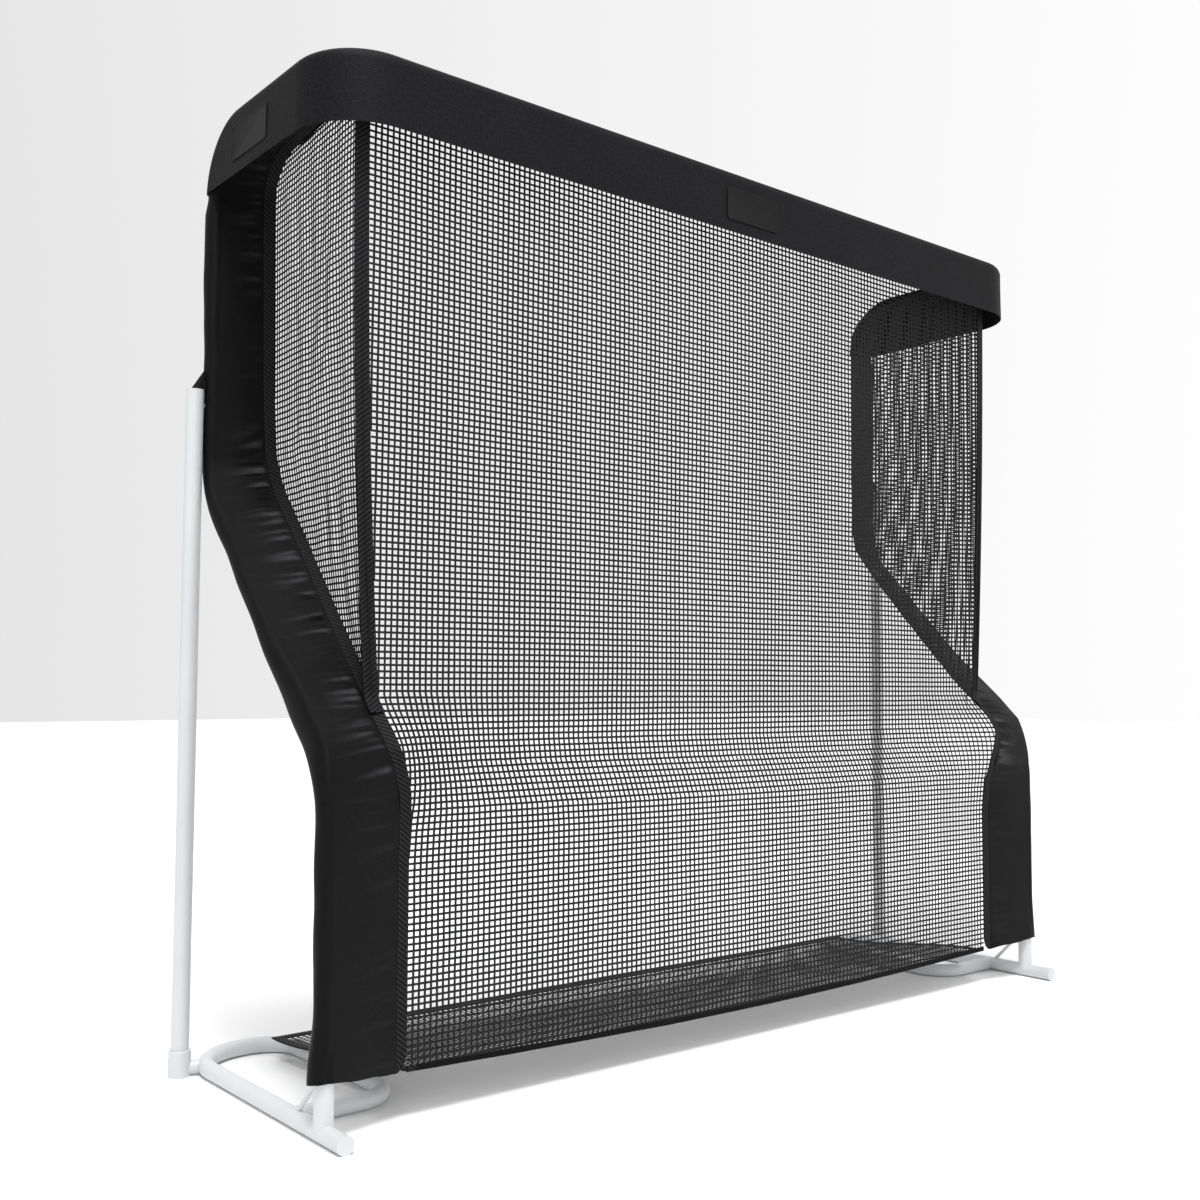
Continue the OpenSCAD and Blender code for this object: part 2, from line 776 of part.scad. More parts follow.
// Tables of the webbing's free edge by height, up to where the arm runs forward.
edge_points = [for (s = stations) edge_point(s)];
edge_x_by_z = [for (p = edge_points) [p[2], p[0]]];
edge_y_by_z = [for (p = edge_points) [p[2], p[1]]];

// How far behind the end caps' faces the main net hangs at a height.
function net_depth(z) =
    z > crease_z ? mix(net_back_mid, net_back_top, (z - crease_z) / (net_top - crease_z))
    : mix(skirt_back, net_back_mid, ease((z - skirt_z) / (crease_z - skirt_z)));

// A corner strip's inner edge at a height: the nets pull it into a bow.
function strip_x(z) = let (h = (z - strip_end_z) / (header_bottom - strip_end_z))
    mix(strip_x_low, strip_x_top, 1 - pow(1 - h, 2));

// The main net's half width. It ends at the covers' webbing, and higher up at the strips.
edge_room = half + 6 * seat;
upper_rows = [0.45, 0.59, 0.73, 0.86, 1];
function net_half_w(z) = z < strip_end_z ? lookup(z, edge_x_by_z) - edge_room
    : strip_x(z) - seat - half;

// The hem's height at a share of the way from one end to the other.
function hem_height(t) = hem_z - hem_sag * sin(180 * t);

// A thin strand along points, with its half section given by two directions.
module strand(points, a, b) {
    n = len(points);
    turned = cross(a, b) * (points[n - 1] - points[0]) < 0;
    u = turned ? b : a;
    v = turned ? a : b;
    polyhedron([for (p = points) each [p - u - v, p + u - v, p + u + v, p - u + v]],
        concat([[0, 1, 2, 3]], [for (i = [0 : n - 2], j = [0 : 3])
            let (k = 4 * i, next = (j + 1) % 4) each [
                [k + j, k + 4 + j, k + 4 + next], [k + j, k + 4 + next, k + next]]],
            [[4 * n - 1, 4 * n - 2, 4 * n - 3, 4 * n - 4]]));
}

// Strands both ways over a grid of points.
module grid_net(rows, up, across, out) {
    union() for (r = rows) strand(r, up, out);
    union() for (c = [0 : len(rows[0]) - 1]) strand([for (r = rows) r[c]], across, 0.8 * out);
}

main_cols = 12;
knee_rows = 6;
main_rows = concat([0, 0.08, 0.16],
    [for (i = [0 : knee_rows]) mix(skirt_z, strip_end_z, i / knee_rows)], upper_rows);
main_points = [for (f = main_rows) [for (c = [0 : main_cols])
    let (t = c / main_cols, z0 = f > 1 ? f : mix(hem_height(t), net_top, f),
        z1 = max(z0, hem_z), on_cover = (c == 0 || c == main_cols) && z0 < strip_end_z)
        [net_half_w(z1) * (2 * t - 1),
            on_cover ? lookup(z1, edge_y_by_z) : back(net_depth(z0)), z0]]];

module main_net() {
    color(net_black) grid_net(main_points, [0, 0, half], [half, 0, 0], [0, half, 0]);
}

// Webbing along the main net's top edge, under the band's lip.
module net_header() {
    color(webbing_black) translate([-strip_x_top - strip_w_corner, back(net_back_top) - half, header_bottom])
        cube([2 * (strip_x_top + strip_w_corner), trim_t, header_h]);
}

// The strip bends at the heights of the net's own rows, so that both keep to one line.
module corner_strip(side) {
    across = strip_w_corner * [cos(strip_turn), sin(strip_turn), 0];
    heights = concat([strip_end_z], [for (f = upper_rows) mix(hem_z, header_bottom - seat, f)]);
    rows = [for (z = heights) [strip_x(z), back(net_depth(z)) - half, z]];
    color(webbing_black) sided(side) sheet(
        [for (p = rows) [p, p + across]],
        [for (p = rows) [p + [0, trim_t, 0], p + across + [0, trim_t, 0]]]);
}

// The side net is ruled from the corner strip back to the cover's webbing.
side_rows = 9;
side_cols = 5;
side_low_z = strip_end_z + 36;
side_top_z = arm_z - cover_lead_arm - edge_half - half - 4 * seat;
behind_strip = strip_w_corner / 2 + half;
function side_row_z(i) = mix(side_low_z, side_top_z, i / side_rows);

side_points = [for (i = [0 : side_rows]) let (z = side_row_z(i),
    y0 = back(net_depth(z)) + trim_t + seat + behind_strip * sin(strip_turn),
    x0 = strip_x(z) + strip_w_corner / 2,
    y1 = lookup(z, edge_y_by_z), x1 = lookup(z, edge_x_by_z) - edge_room)
    [for (c = [0 : side_cols]) let (t = c / side_cols) [mix(x0, x1, t), mix(y0, y1, t), z]]];

module side_net(side) {
    color(net_black) sided(side)
        grid_net(side_points, [0, 0, half], [0, half, 0], [half, 0, 0]);
}

// The floor net runs back from the main net's hem to its own bound edge.
floor_cols = main_cols;
floor_rows = 4;
binding_w = trim_w - 4;
floor_net_x = axis_x - floor_net_in;
floor_back_y = back(depth - floor_net_inset);
function floor_half_w(t) = mix(axis_x - cover_w_low, floor_net_x, t) - binding_w;
floor_front_y = back(skirt_back) + 2 * half + seat;
function floor_y(t) = mix(floor_front_y, floor_back_y - binding_w, t);

floor_points = [for (r = [0 : floor_rows]) let (t = r / floor_rows)
    [for (c = [0 : floor_cols]) let (u = c / floor_cols)
        [floor_half_w(t) * (2 * u - 1),
            floor_y(t),
            mix(hem_height(u), floor_net_z, ease(t))]]];

module floor_net() {
    color(net_black) grid_net(floor_points, [0, half, 0], [half, 0, 0], [0, 0, half]);
}

function binding_point(t) =
    [floor_half_w(t) + half + seat, floor_y(t), mix(hem_z, floor_net_z, ease(t))];

// Webbing along the floor net's sides and back edge.
module floor_net_binding() {
    side_edge = concat([for (i = [0 : floor_rows]) binding_point(i / floor_rows)],
        [binding_point(1) + [0, binding_w, 0]]);
    color(webbing_black) {
        for (side = [-1, 1]) sided(side) sheet(
            [for (p = side_edge) [p + [0, 0, half], p + [binding_w, 0, half]]],
            [for (p = side_edge) [p - [0, 0, half], p + [binding_w, 0, -half]]]);
        back_bar = [2 * floor_half_w(1) + binding_w, binding_w, 0.8 * trim_t];
        translate([-back_bar[0] / 2, floor_y(1) + half + seat, floor_net_z - back_bar[2] / 2])
            cube(back_bar);
    }
}

base_loop(-1);  // base_loop_left
base_loop(1);  // base_loop_right
base_end_cap(-1);  // base_end_cap_left
base_end_cap(1);  // base_end_cap_right
upright_stub(-1);  // upright_stub_left
upright_stub(1);  // upright_stub_right
stay_rod(-1);  // stay_rod_left
stay_rod(1);  // stay_rod_right
post_socket(-1);  // post_socket_left
post_socket(1);  // post_socket_right
socket_link(-1);  // socket_link_left
socket_link(1);  // socket_link_right
post(-1);  // post_left
post(1);  // post_right
post_cap(-1);  // post_cap_left
post_cap(1);  // post_cap_right
post_peg(-1);  // post_peg_left
post_peg(1);  // post_peg_right
lower_upright(-1);  // lower_upright_left
lower_upright(1);  // lower_upright_right
upper_upright(-1);  // upper_upright_left
upper_upright(1);  // upper_upright_right
corner_tube(-1);  // corner_tube_left
corner_tube(1);  // corner_tube_right
top_bar(-1);  // top_bar_left
top_bar(1);  // top_bar_right
joint_button(-1, LOWER[0]);  // stub_button_left
joint_button(1, LOWER[0]);  // stub_button_right
joint_button(-1, UPPER[0]);  // upright_button_left
joint_button(1, UPPER[0]);  // upright_button_right
joint_button(-1, CORNER[0]);  // arm_button_left
joint_button(1, CORNER[0]);  // arm_button_right
joint_button(-1, BAR[0]);  // bar_button_left
joint_button(1, BAR[0]);  // bar_button_right
coupler_button(-1);  // coupler_button_left
coupler_button(1);  // coupler_button_right
upright_cover(-1);  // upright_cover_left
upright_cover(1);  // upright_cover_right
cover_trim(-1);  // cover_trim_left
cover_trim(1);  // cover_trim_right
corner_strip(-1);  // corner_strip_left
corner_strip(1);  // corner_strip_right
corner_gusset(-1);  // corner_gusset_left
corner_gusset(1);  // corner_gusset_right
post_flap(-1);  // post_flap_left
post_flap(1);  // post_flap_right
side_net(-1);  // side_net_left
side_net(1);  // side_net_right
centre_coupler();
spring_clips();
top_band();
label_patches();
net_header();
main_net();
floor_net();
floor_net_binding();
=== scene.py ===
import json
import math
from collections import namedtuple
import bpy
import numpy as np
from mathutils import Matrix, Vector, noise


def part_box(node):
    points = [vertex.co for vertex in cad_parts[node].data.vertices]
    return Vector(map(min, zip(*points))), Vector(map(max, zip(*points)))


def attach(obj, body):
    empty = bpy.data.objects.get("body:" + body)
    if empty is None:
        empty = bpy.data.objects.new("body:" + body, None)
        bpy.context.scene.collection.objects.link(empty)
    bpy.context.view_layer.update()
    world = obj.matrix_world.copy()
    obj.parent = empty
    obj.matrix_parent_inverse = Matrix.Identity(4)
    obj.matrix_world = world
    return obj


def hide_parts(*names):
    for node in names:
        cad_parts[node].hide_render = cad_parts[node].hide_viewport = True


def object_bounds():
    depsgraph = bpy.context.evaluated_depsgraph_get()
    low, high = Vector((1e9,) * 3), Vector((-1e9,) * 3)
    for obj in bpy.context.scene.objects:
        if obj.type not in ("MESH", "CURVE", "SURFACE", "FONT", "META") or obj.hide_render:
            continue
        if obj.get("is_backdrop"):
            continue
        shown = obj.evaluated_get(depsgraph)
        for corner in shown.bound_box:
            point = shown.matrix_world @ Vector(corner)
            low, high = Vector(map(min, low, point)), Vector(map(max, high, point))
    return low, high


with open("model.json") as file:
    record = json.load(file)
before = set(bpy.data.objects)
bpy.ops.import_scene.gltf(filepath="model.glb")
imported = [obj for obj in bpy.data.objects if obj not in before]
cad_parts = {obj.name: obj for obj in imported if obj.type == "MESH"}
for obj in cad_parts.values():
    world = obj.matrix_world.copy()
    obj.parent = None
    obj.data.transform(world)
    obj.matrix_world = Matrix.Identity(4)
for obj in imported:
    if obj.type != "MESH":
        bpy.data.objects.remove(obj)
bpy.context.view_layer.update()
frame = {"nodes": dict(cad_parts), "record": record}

# Sizes in metres. X is across the net, +Y is towards the golfer and Z is up.
HALF_SPAN, DEPTH, HEIGHT = 1.2, 0.786, 2.228
COVER_IN, COVER_OUT = 0.0219, 0.0236
BAND_OUT, BAND_R, BAND_DEEP, BAND_LIP = 0.0262, 0.0280, 0.164, 0.049
ARM_Z, BAND_LOW = HEIGHT - BAND_OUT, HEIGHT - BAND_DEEP
TRIM_W, STRIP_W, HEADER_W, BINDING_W, HEM_W = 0.028, 0.034, 0.040, 0.024, 0.012
CLOTH_THICK, FLAP_THICK, TAPE_THICK, TAPE_ROUND = 0.0016, 0.0014, 0.0036, 0.0012
BACK_THICK, HEM_THICK = 0.0030, 0.0050
SEAT = 0.0003


def back(d):
    """Distance behind the end caps' faces, as a Y coordinate."""
    return d - DEPTH / 2


FOOT_Y, UPPER_Y, BAR_Y = back(0.091), back(0.697), back(0.112)
LOW_KNEE_Z, HIGH_KNEE_Z = 0.710, 1.350
LOW_KNEE_R, HIGH_KNEE_R, TOP_R, PLAN_R = 0.260, 0.200, 0.150, 0.130
LEAN = math.atan2(UPPER_Y - FOOT_Y, HIGH_KNEE_Z - LOW_KNEE_Z)
LOW_BEND_Z = LOW_KNEE_Z - LOW_KNEE_R * math.tan(LEAN / 2)
HIGH_BEND_Z = HIGH_KNEE_Z + HIGH_KNEE_R * math.tan(LEAN / 2)
LEAN_LEN = (math.hypot(UPPER_Y - FOOT_Y, HIGH_KNEE_Z - LOW_KNEE_Z)
            - (LOW_KNEE_R + HIGH_KNEE_R) * math.tan(LEAN / 2))
TOP_BEND_Z = ARM_Z - TOP_R
ARM_END_Y = BAR_Y + PLAN_R
NET_TOP_Y, NET_MID_Y = back(0.155), back(0.165)
CORNER_Y = NET_TOP_Y + 0.004
CREASE_Z, SKIRT_Z, HEM_Z, HEM_SAG = 0.760, 0.600, 0.100, 0.020
STRIP_TOP_X, STRIP_LOW_X, STRIP_END_Z = 1.094, 1.050, 0.868
STRIP_TURN, STRIP_LAP, STRIP_OFF, PULL = math.radians(8), 0.034, 0.0042, 0.40
HEADER_DROP = 0.0023
HEADER_LOW = HEIGHT - HEADER_DROP - HEADER_W
FLOOR_NET_Z, FLOOR_NET_X, FLOOR_NET_Y = 0.050, 1.024, back(0.690)
FLOOR_FRONT_X = HALF_SPAN - 0.193
SKIRT_Y = back(0.107)
FLOOR_FRONT_Y = SKIRT_Y + 0.0043
COVER_LOW, HEM_TUBE_Z, CORNER_R = 0.100, 0.116, 0.045
FLARE, FLARE_H, LIFT_H = 0.008, 0.14, 0.25
POST_X, POST_Y, POST_TOP = 1.247, back(0.696), 1.584
FLAP_H, FLAP_HALF, FLAP_REACH = 0.046, 0.0095, 0.010
GUSSET_X, GUSSET_DROP, GUSSET_DIP = 1.1417, 0.010, 0.004
PATCH_W, PATCH_Y, PATCH_OUT = 0.186, back(0.470), 0.0018
RIB_PITCH, STITCH_IN, STITCH_PITCH = 0.0110, 0.0035, 0.0050
MESH, CORD_R, CORD_FLAT = 0.0137, 0.0029, 0.16

# Points in each ring of a cord, which follow from its bevel's resolution.
BEVEL, RING = 1, 6
# Cords whose lengths are taken for a net's size, and steps along each.
SAMPLES = 20


def mix(a, b, t):
    return a + (b - a) * t


def unit(t):
    return min(1.0, max(0.0, t))


def ease(t):
    t = unit(t)
    return t * t * (3 - 2 * t)


def ramp(x, start, length):
    """A smooth rise from 0 at start to 1, over that length."""
    return ease((x - start) / length)


def hump(x, centre, width):
    return math.exp(-((x - centre) / width) ** 2)


def lookup(x, places, values):
    return float(np.interp(x, places, values))


def waver(x, y, z):
    return noise.noise(Vector((x, y, z)))


# ---- Camera, floor and light ----

def add_camera():
    heading, rise, roll = 0.685878, 0.0651686, 0.0032459
    spot = (-2.452755, -2.678894, 0.890319)
    sensor, focal, pixels = 36, 1319.438, 1200
    ahead = Vector((math.sin(heading) * math.cos(rise),
                    math.cos(heading) * math.cos(rise), math.sin(rise)))
    right = Vector((math.cos(heading), -math.sin(heading), 0))
    up = right.cross(ahead)
    level = Matrix((math.cos(roll) * right + math.sin(roll) * up,
                    math.cos(roll) * up - math.sin(roll) * right, -ahead)).transposed()
    bpy.ops.object.camera_add()
    camera = bpy.context.object
    camera.matrix_world = Matrix.Translation(spot) @ level.to_4x4()
    camera.data.sensor_width = sensor
    camera.data.lens = sensor * focal / pixels
    camera.data.clip_end = 100
    bpy.context.scene.camera = camera


def add_light(place, aim, size, power):
    bpy.ops.object.light_add(type='AREA', location=place)
    lamp = bpy.context.object
    lamp.rotation_euler = (Vector(aim) - Vector(place)).to_track_quat('-Z', 'Y').to_euler()
    lamp.data.size = size
    lamp.data.energy = power


def add_sun(way, spread, power):
    bpy.ops.object.light_add(type='SUN')
    lamp = bpy.context.object
    lamp.rotation_euler = Vector(way).to_track_quat('Z', 'Y').to_euler()
    lamp.data.angle = spread
    lamp.data.energy = power


# ---- Shader expressions ----

class Wire:
    """An output of a finish's nodes. Sums and products of wires add Math nodes."""

    def __init__(self, finish, socket):
        self.finish, self.socket = finish, socket

    def math(self, kind, *others):
        return self.finish.node("ShaderNodeMath", {"operation": kind},
                                {i: v for i, v in enumerate(others)})

    def __add__(self, other): return self.math("ADD", self, other)
    def __radd__(self, other): return self.math("ADD", other, self)
    def __sub__(self, other): return self.math("SUBTRACT", self, other)
    def __rsub__(self, other): return self.math("SUBTRACT", other, self)
    def __mul__(self, other): return self.math("MULTIPLY", self, other)
    def __rmul__(self, other): return self.math("MULTIPLY", other, self)
    def __truediv__(self, other): return self.math("DIVIDE", self, other)

    def sin(self): return self.math("SINE", self)
    def abs(self): return self.math("ABSOLUTE", self)
    def clamp(self): return self.math("MINIMUM", self.math("MAXIMUM", self, 0.0), 1.0)

    def __getitem__(self, axis):
        parts = self.finish.node("ShaderNodeSeparateXYZ", {}, {0: self}, whole=True)
        return Wire(self.finish, parts.outputs["XYZ".index(axis)])


class Finish:
    """A material while it is put together."""

    def __init__(self, name, **shader):
        self.material = bpy.data.materials.new(name)
        self.material.use_nodes = True
        self.tree = self.material.node_tree
        self.shader = self.tree.nodes["Principled BSDF"]
        for socket, value in shader.items():
            self.shader.inputs[socket.replace("_", " ")].default_value = value

    def node(self, kind, settings, sockets, output=0, whole=False):
        made = self.tree.nodes.new(kind)
        for key, value in settings.items():
            setattr(made, key, value)
        for key, value in sockets.items():
            if isinstance(value, Wire):
                self.tree.links.new(value.socket, made.inputs[key])
            else:
                made.inputs[key].default_value = value
        return made if whole else Wire(self, made.outputs[output])

    def place(self):
        return self.node("ShaderNodeTexCoord", {}, {}, output="Object")

    def cloth(self):
        """The cloth's own coordinates, in metres along its weave."""
        return self.node("ShaderNodeUVMap", {"uv_map": "cut"}, {})

    def noise(self, where, scale, detail=3.0):
        return self.node("ShaderNodeTexNoise", {}, {"Vector": where, "Scale": scale,
                                                    "Detail": detail})

    def blend(self, share, low, high):
        return self.node("ShaderNodeMix", {"data_type": 'RGBA'},
                         {"Factor": share, 6: low, 7: high}, output=2)

    def wire(self, socket, value):
        self.tree.links.new(value.socket, self.shader.inputs[socket])

    def bump(self, height, strength, distance):
        self.wire("Normal", self.node("ShaderNodeBump", {}, {
            "Height": height, "Strength": strength, "Distance": distance}))


def powder_coat():
    f = Finish("white_powder_coat", Roughness=0.36, Specular_IOR_Level=0.5)
    spot = f.place()
    tone = f.noise(spot, scale=9.0)
    peel = f.noise(spot, scale=900.0, detail=2.0)
    f.wire("Base Color", f.blend(tone, (0.60, 0.62, 0.635, 1), (0.665, 0.68, 0.69, 1)))
    f.wire("Roughness", 0.30 + 0.14 * f.noise(spot, scale=60.0))
    f.bump(peel, strength=0.12, distance=0.0006)
    return f.material


def zinc():
    f = Finish("zinc_plate", Metallic=1.0, Roughness=0.35)
    spot = f.place()
    f.wire("Base Color", f.blend(f.noise(spot, scale=220.0), (0.50, 0.51, 0.53, 1),
                                 (0.68, 0.69, 0.71, 1)))
    f.wire("Roughness", 0.25 + 0.25 * f.noise(spot, scale=500.0))
    return f.material


def woven(name, dark, light, pitch, strength, rough):
    """Plain weave: threads over and under at one pitch, with glints painted lighter as flecks
    where they catch light.
    """
    f = Finish(name, Roughness=rough, Specular_IOR_Level=0.10, Sheen_Weight=0.0)
    at = f.cloth()
    turn = 2 * math.pi / pitch
    over = (at["X"] * turn).sin() * (at["Y"] * turn).sin()
    slub = f.noise(at, scale=140.0)
    glint_fleck = (over * 0.5 + 0.5) * slub
    patchy = f.noise(at, scale=5.0)
    painted_fold_highlight = f.node("ShaderNodeAttribute", {"attribute_name": "painted_fold_highlight"}, {}, output="Fac")
    # The cloth's colour: random tone, with glints painted lighter on the flecks.
    weave = f.blend(((glint_fleck * 1.4 + patchy * 0.25) - 0.2).clamp(), dark, light)
    # A highlight painted into the colour along the cover's fold crests: lighter grey, mottled by
    # noise.
    painted_shine = (painted_fold_highlight * (0.5 + f.noise(at, scale=60.0))).clamp()
    f.wire("Base Color", f.blend(painted_shine, weave, (0.048, 0.048, 0.053, 1)))
    f.wire("Roughness", rough - 0.12 * glint_fleck - 0.10 * painted_shine)
    f.bump(over * 0.5 + slub * 0.5, strength, distance=0.0007)
    return f.material


def webbing(name, width):
    """Ribbed webbing: slanting ribs with a glint painted along them, and a row of stitches near
    each edge.
    """
    stitch_r, border, border_soft = 0.0007, 0.0010, 0.0008
    f = Finish(name, Roughness=0.62, Specular_IOR_Level=0.10)
    at = f.cloth()
    rib = ((at["X"] * 0.8 + at["Y"]) * (2 * math.pi / RIB_PITCH)).sin() * 0.5 + 0.5
    from_edge = width / 2 - (at["X"] - width / 2).abs()
    row = (1 - (from_edge - STITCH_IN).abs() / stitch_r).clamp()
    stitch = row * ((at["Y"] * (2 * math.pi / STITCH_PITCH)).sin() + 0.4).clamp()
    inside = ((from_edge - border) / border_soft).clamp()
    # A glint painted lighter along the ribs, kept off a narrow border at each edge; the stitches'
    # lighter colour is their own.
    painted_rib_glint = (rib * inside * f.noise(at, scale=260.0) * 1.3).clamp()
    f.wire("Base Color", f.blend((painted_rib_glint + stitch * 0.8).clamp(), (0.0020, 0.0020, 0.0024, 1),
                                 (0.030, 0.030, 0.033, 1)))
    f.wire("Roughness", 0.7 - 0.14 * rib)
    f.bump(rib - 1.5 * row + 2.0 * stitch, strength=0.6, distance=0.0006)
    return f.material


def net_cord():
    twists = 2600.0
    f = Finish("net_cord", Roughness=0.75, Specular_IOR_Level=0.14)
    spot = f.place()
    twist = ((spot["X"] + spot["Z"] + spot["Y"]) * twists).sin() * 0.5 + 0.5
    f.wire("Base Color", f.blend(twist * f.noise(spot, scale=90.0), (0.010, 0.010, 0.011, 1),
                                 (0.030, 0.030, 0.032, 1)))
    f.bump(twist, strength=0.4, distance=0.0004)
    return f.material


def moulded():
    f = Finish("moulded_patch", Roughness=0.5, Specular_IOR_Level=0.12)
    spot = f.place()
    f.wire("Base Color", f.blend(f.noise(spot, scale=30.0), (0.0045, 0.0045, 0.0052, 1),
                                 (0.010, 0.010, 0.011, 1)))
    f.wire("Roughness", 0.42 + 0.16 * f.noise(spot, scale=300.0))
    f.bump(f.noise(spot, scale=1500.0, detail=1.0), strength=0.25, distance=0.0003)
    return f.material


class Studio(Finish):
    """The light all round: brighter on the right, dimmer overhead."""

    def __init__(self, world):
        world.use_nodes = True
        self.tree = world.node_tree
        self.shader = self.tree.nodes["Background"]
        way = self.node("ShaderNodeTexCoord", {}, {})
        across = way["X"] * 0.774 - way["Y"] * 0.633
        overhead = ((way["Z"] - 0.50) / 0.30).clamp()
        self.wire("Strength", (0.89 + 0.24 * across) * (1 - 0.35 * overhead))


def plain_floor():
    f = Finish("pale_floor", Roughness=0.8, Specular_IOR_Level=0.1)
    f.wire("Base Color", f.blend(f.noise(f.place(), scale=0.7), (0.95, 0.95, 0.95, 1),
                                 (0.97, 0.97, 0.97, 1)))
    return f.material


# ---- Cloth and netting ----

def alone(piece):
    bpy.ops.object.select_all(action='DESELECT')
    piece.select_set(True)
    bpy.context.view_layer.objects.active = piece


def in_edit(piece, *steps):
    """Runs edit mode operators on all of a piece."""
    alone(piece)
    bpy.ops.object.mode_set(mode='EDIT')
    bpy.ops.mesh.select_all(action='SELECT')
    for step in steps:
        step()
    bpy.ops.object.mode_set(mode='OBJECT')


def outward():
    bpy.ops.mesh.normals_make_consistent(inside=False)


def merge():
    bpy.ops.mesh.remove_doubles(threshold=0.00001)


def apply(piece, kind, **settings):
    alone(piece)
    modifier = piece.modifiers.new(kind.title(), kind)
    for key, value in settings.items():
        setattr(modifier, key, value)
    bpy.ops.object.modifier_apply(modifier=modifier.name)


def add_grid(name, across, along, place):
    """A grid of that many points each way, laid out by place(u, v) with both from 0 to 1."""
    bpy.ops.object.select_all(action='DESELECT')
    bpy.ops.mesh.primitive_grid_add(x_subdivisions=across - 1, y_subdivisions=along - 1,
                                    size=2, calc_uvs=True)
    piece = bpy.context.object
    piece.name = piece.data.name = name
    for i, vertex in enumerate(piece.data.vertices):
        row, column = divmod(i, across)
        vertex.co = place(column / (across - 1), row / (along - 1))
    return piece


def measure_cloth(piece, across, along):
    """Writes the cloth's UV map in metres, and returns its flat width and length."""
    at = np.array([v.co[:] for v in piece.data.vertices]).reshape(along, across, 3)
    step_u = np.linalg.norm(np.diff(at, axis=1), axis=2)
    step_v = np.linalg.norm(np.diff(at, axis=0), axis=2)
    u = np.concatenate([[0], np.cumsum(step_u.mean(axis=0))])
    v = np.concatenate([[0], np.cumsum(step_v.mean(axis=1))])
    cut = piece.data.uv_layers[0]
    cut.name = "cut"
    for loop in piece.data.loops:
        row, column = divmod(loop.vertex_index, across)
        cut.data[loop.index].uv = (u[column], v[row])
    return float(u[-1]), float(v[-1])


def hang(piece, nodes, flat, area):
    """Hangs a sheet on the frame and hides the parts that it stands for."""
    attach(piece, "frame")
    if nodes:
        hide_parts(*nodes)
    min(area, flat[0] * flat[1])


def lay_cloth(name, grid, place, thick, material, nodes, rounded=0.0,
              painted_fold_highlight=None):
    """A sheet of cloth over a grid of points, with its thickness and its flat size."""
    across, along = grid
    piece = add_grid(name, across, along, place)
    # How strongly a highlight is painted on each point, along the fold crests.
    if painted_fold_highlight:
        painted_highlight_layer = piece.data.attributes.new("painted_fold_highlight", 'FLOAT', 'POINT')
        painted_highlight_layer.data.foreach_set("value", [painted_fold_highlight(i / (across - 1), j / (along - 1))
                                         for j in range(along) for i in range(across)])
    flat = measure_cloth(piece, across, along)
    area = sum(f.area for f in piece.data.polygons)
    apply(piece, 'SOLIDIFY', thickness=thick, offset=0.0, use_even_offset=True)
    in_edit(piece, outward)
    if rounded:
        apply(piece, 'BEVEL', width=rounded, segments=2, limit_method='ANGLE', angle_limit=1.0)
    alone(piece)
    bpy.ops.object.shade_smooth_by_angle(angle=0.8)
    piece.data.materials.append(material)
    hang(piece, nodes, flat, area)


def add_cords(name, count, points, place, thin):
    """Flat cords, each along a row of points laid out by place(share of cords, share along).
    thin is the axis across which they are flattened."""
    piece = add_grid(name, points, count, lambda u, v: place(v, u))
    pick(piece, 'EDGE', lambda edge: abs(edge.vertices[0] - edge.vertices[1]) == points)
    bpy.ops.mesh.delete(type='EDGE')
    bpy.ops.object.mode_set(mode='OBJECT')
    bpy.ops.object.convert(target='CURVE')
    path = bpy.context.object
    path.data.bevel_depth = CORD_R
    path.data.bevel_resolution = BEVEL
    path.data.use_fill_caps = True
    bpy.ops.object.convert(target='MESH')
    cords = bpy.context.object
    rings = np.empty(len(cords.data.vertices) * 3)
    cords.data.vertices.foreach_get("co", rings)
    rings = rings.reshape(-1, RING, 3)
    middle = rings.mean(axis=1, keepdims=True)
    scale = np.ones(3)
    scale[thin] = CORD_FLAT
    cords.data.vertices.foreach_set("co", (middle + (rings - middle) * scale).ravel())
    return cords


def cord_length(place, i):
    """The length of the cord at that share of the way across."""
    points = [Vector(place(i, j / SAMPLES)) for j in range(SAMPLES + 1)]
    return sum((a - b).length for a, b in zip(points, points[1:]))


def netting(name, warps, wefts, thin, nodes):
    """Square netting. warps and wefts are each (count, points, place)."""
    pieces = [add_cords(name + "_warp", *warps, thin), add_cords(name + "_weft", *wefts, thin)]
    shares = [i / SAMPLES for i in range(SAMPLES + 1)]
    run = sum(cord_length(wefts[2], i) for i in shares) / len(shares)
    fall = max(cord_length(warps[2], i) for i in shares)
    area = run * wefts[0] * MESH
    bpy.ops.object.select_all(action='DESELECT')
    for piece in pieces:
        piece.select_set(True)
    bpy.context.view_layer.objects.active = pieces[0]
    bpy.ops.object.join()
    net = bpy.context.object
    net.name = net.data.name = name
    in_edit(net, merge, outward)
    bpy.ops.object.shade_smooth_by_angle(angle=1.2)
    net.data.materials.clear()
    net.data.materials.append(NET)
    hang(net, nodes, (max(run, area / fall), fall), area)


# ---- Places along the upright ----

# A place on the tube's axis, the tube's lean there, and the shares of the way to the narrow
# part of the cover and to the arm.
Station = namedtuple("Station", "y z lean narrow arm")
# The share to the narrow part that is reached at the end of the low knee.
KNEE_NARROW = 0.7


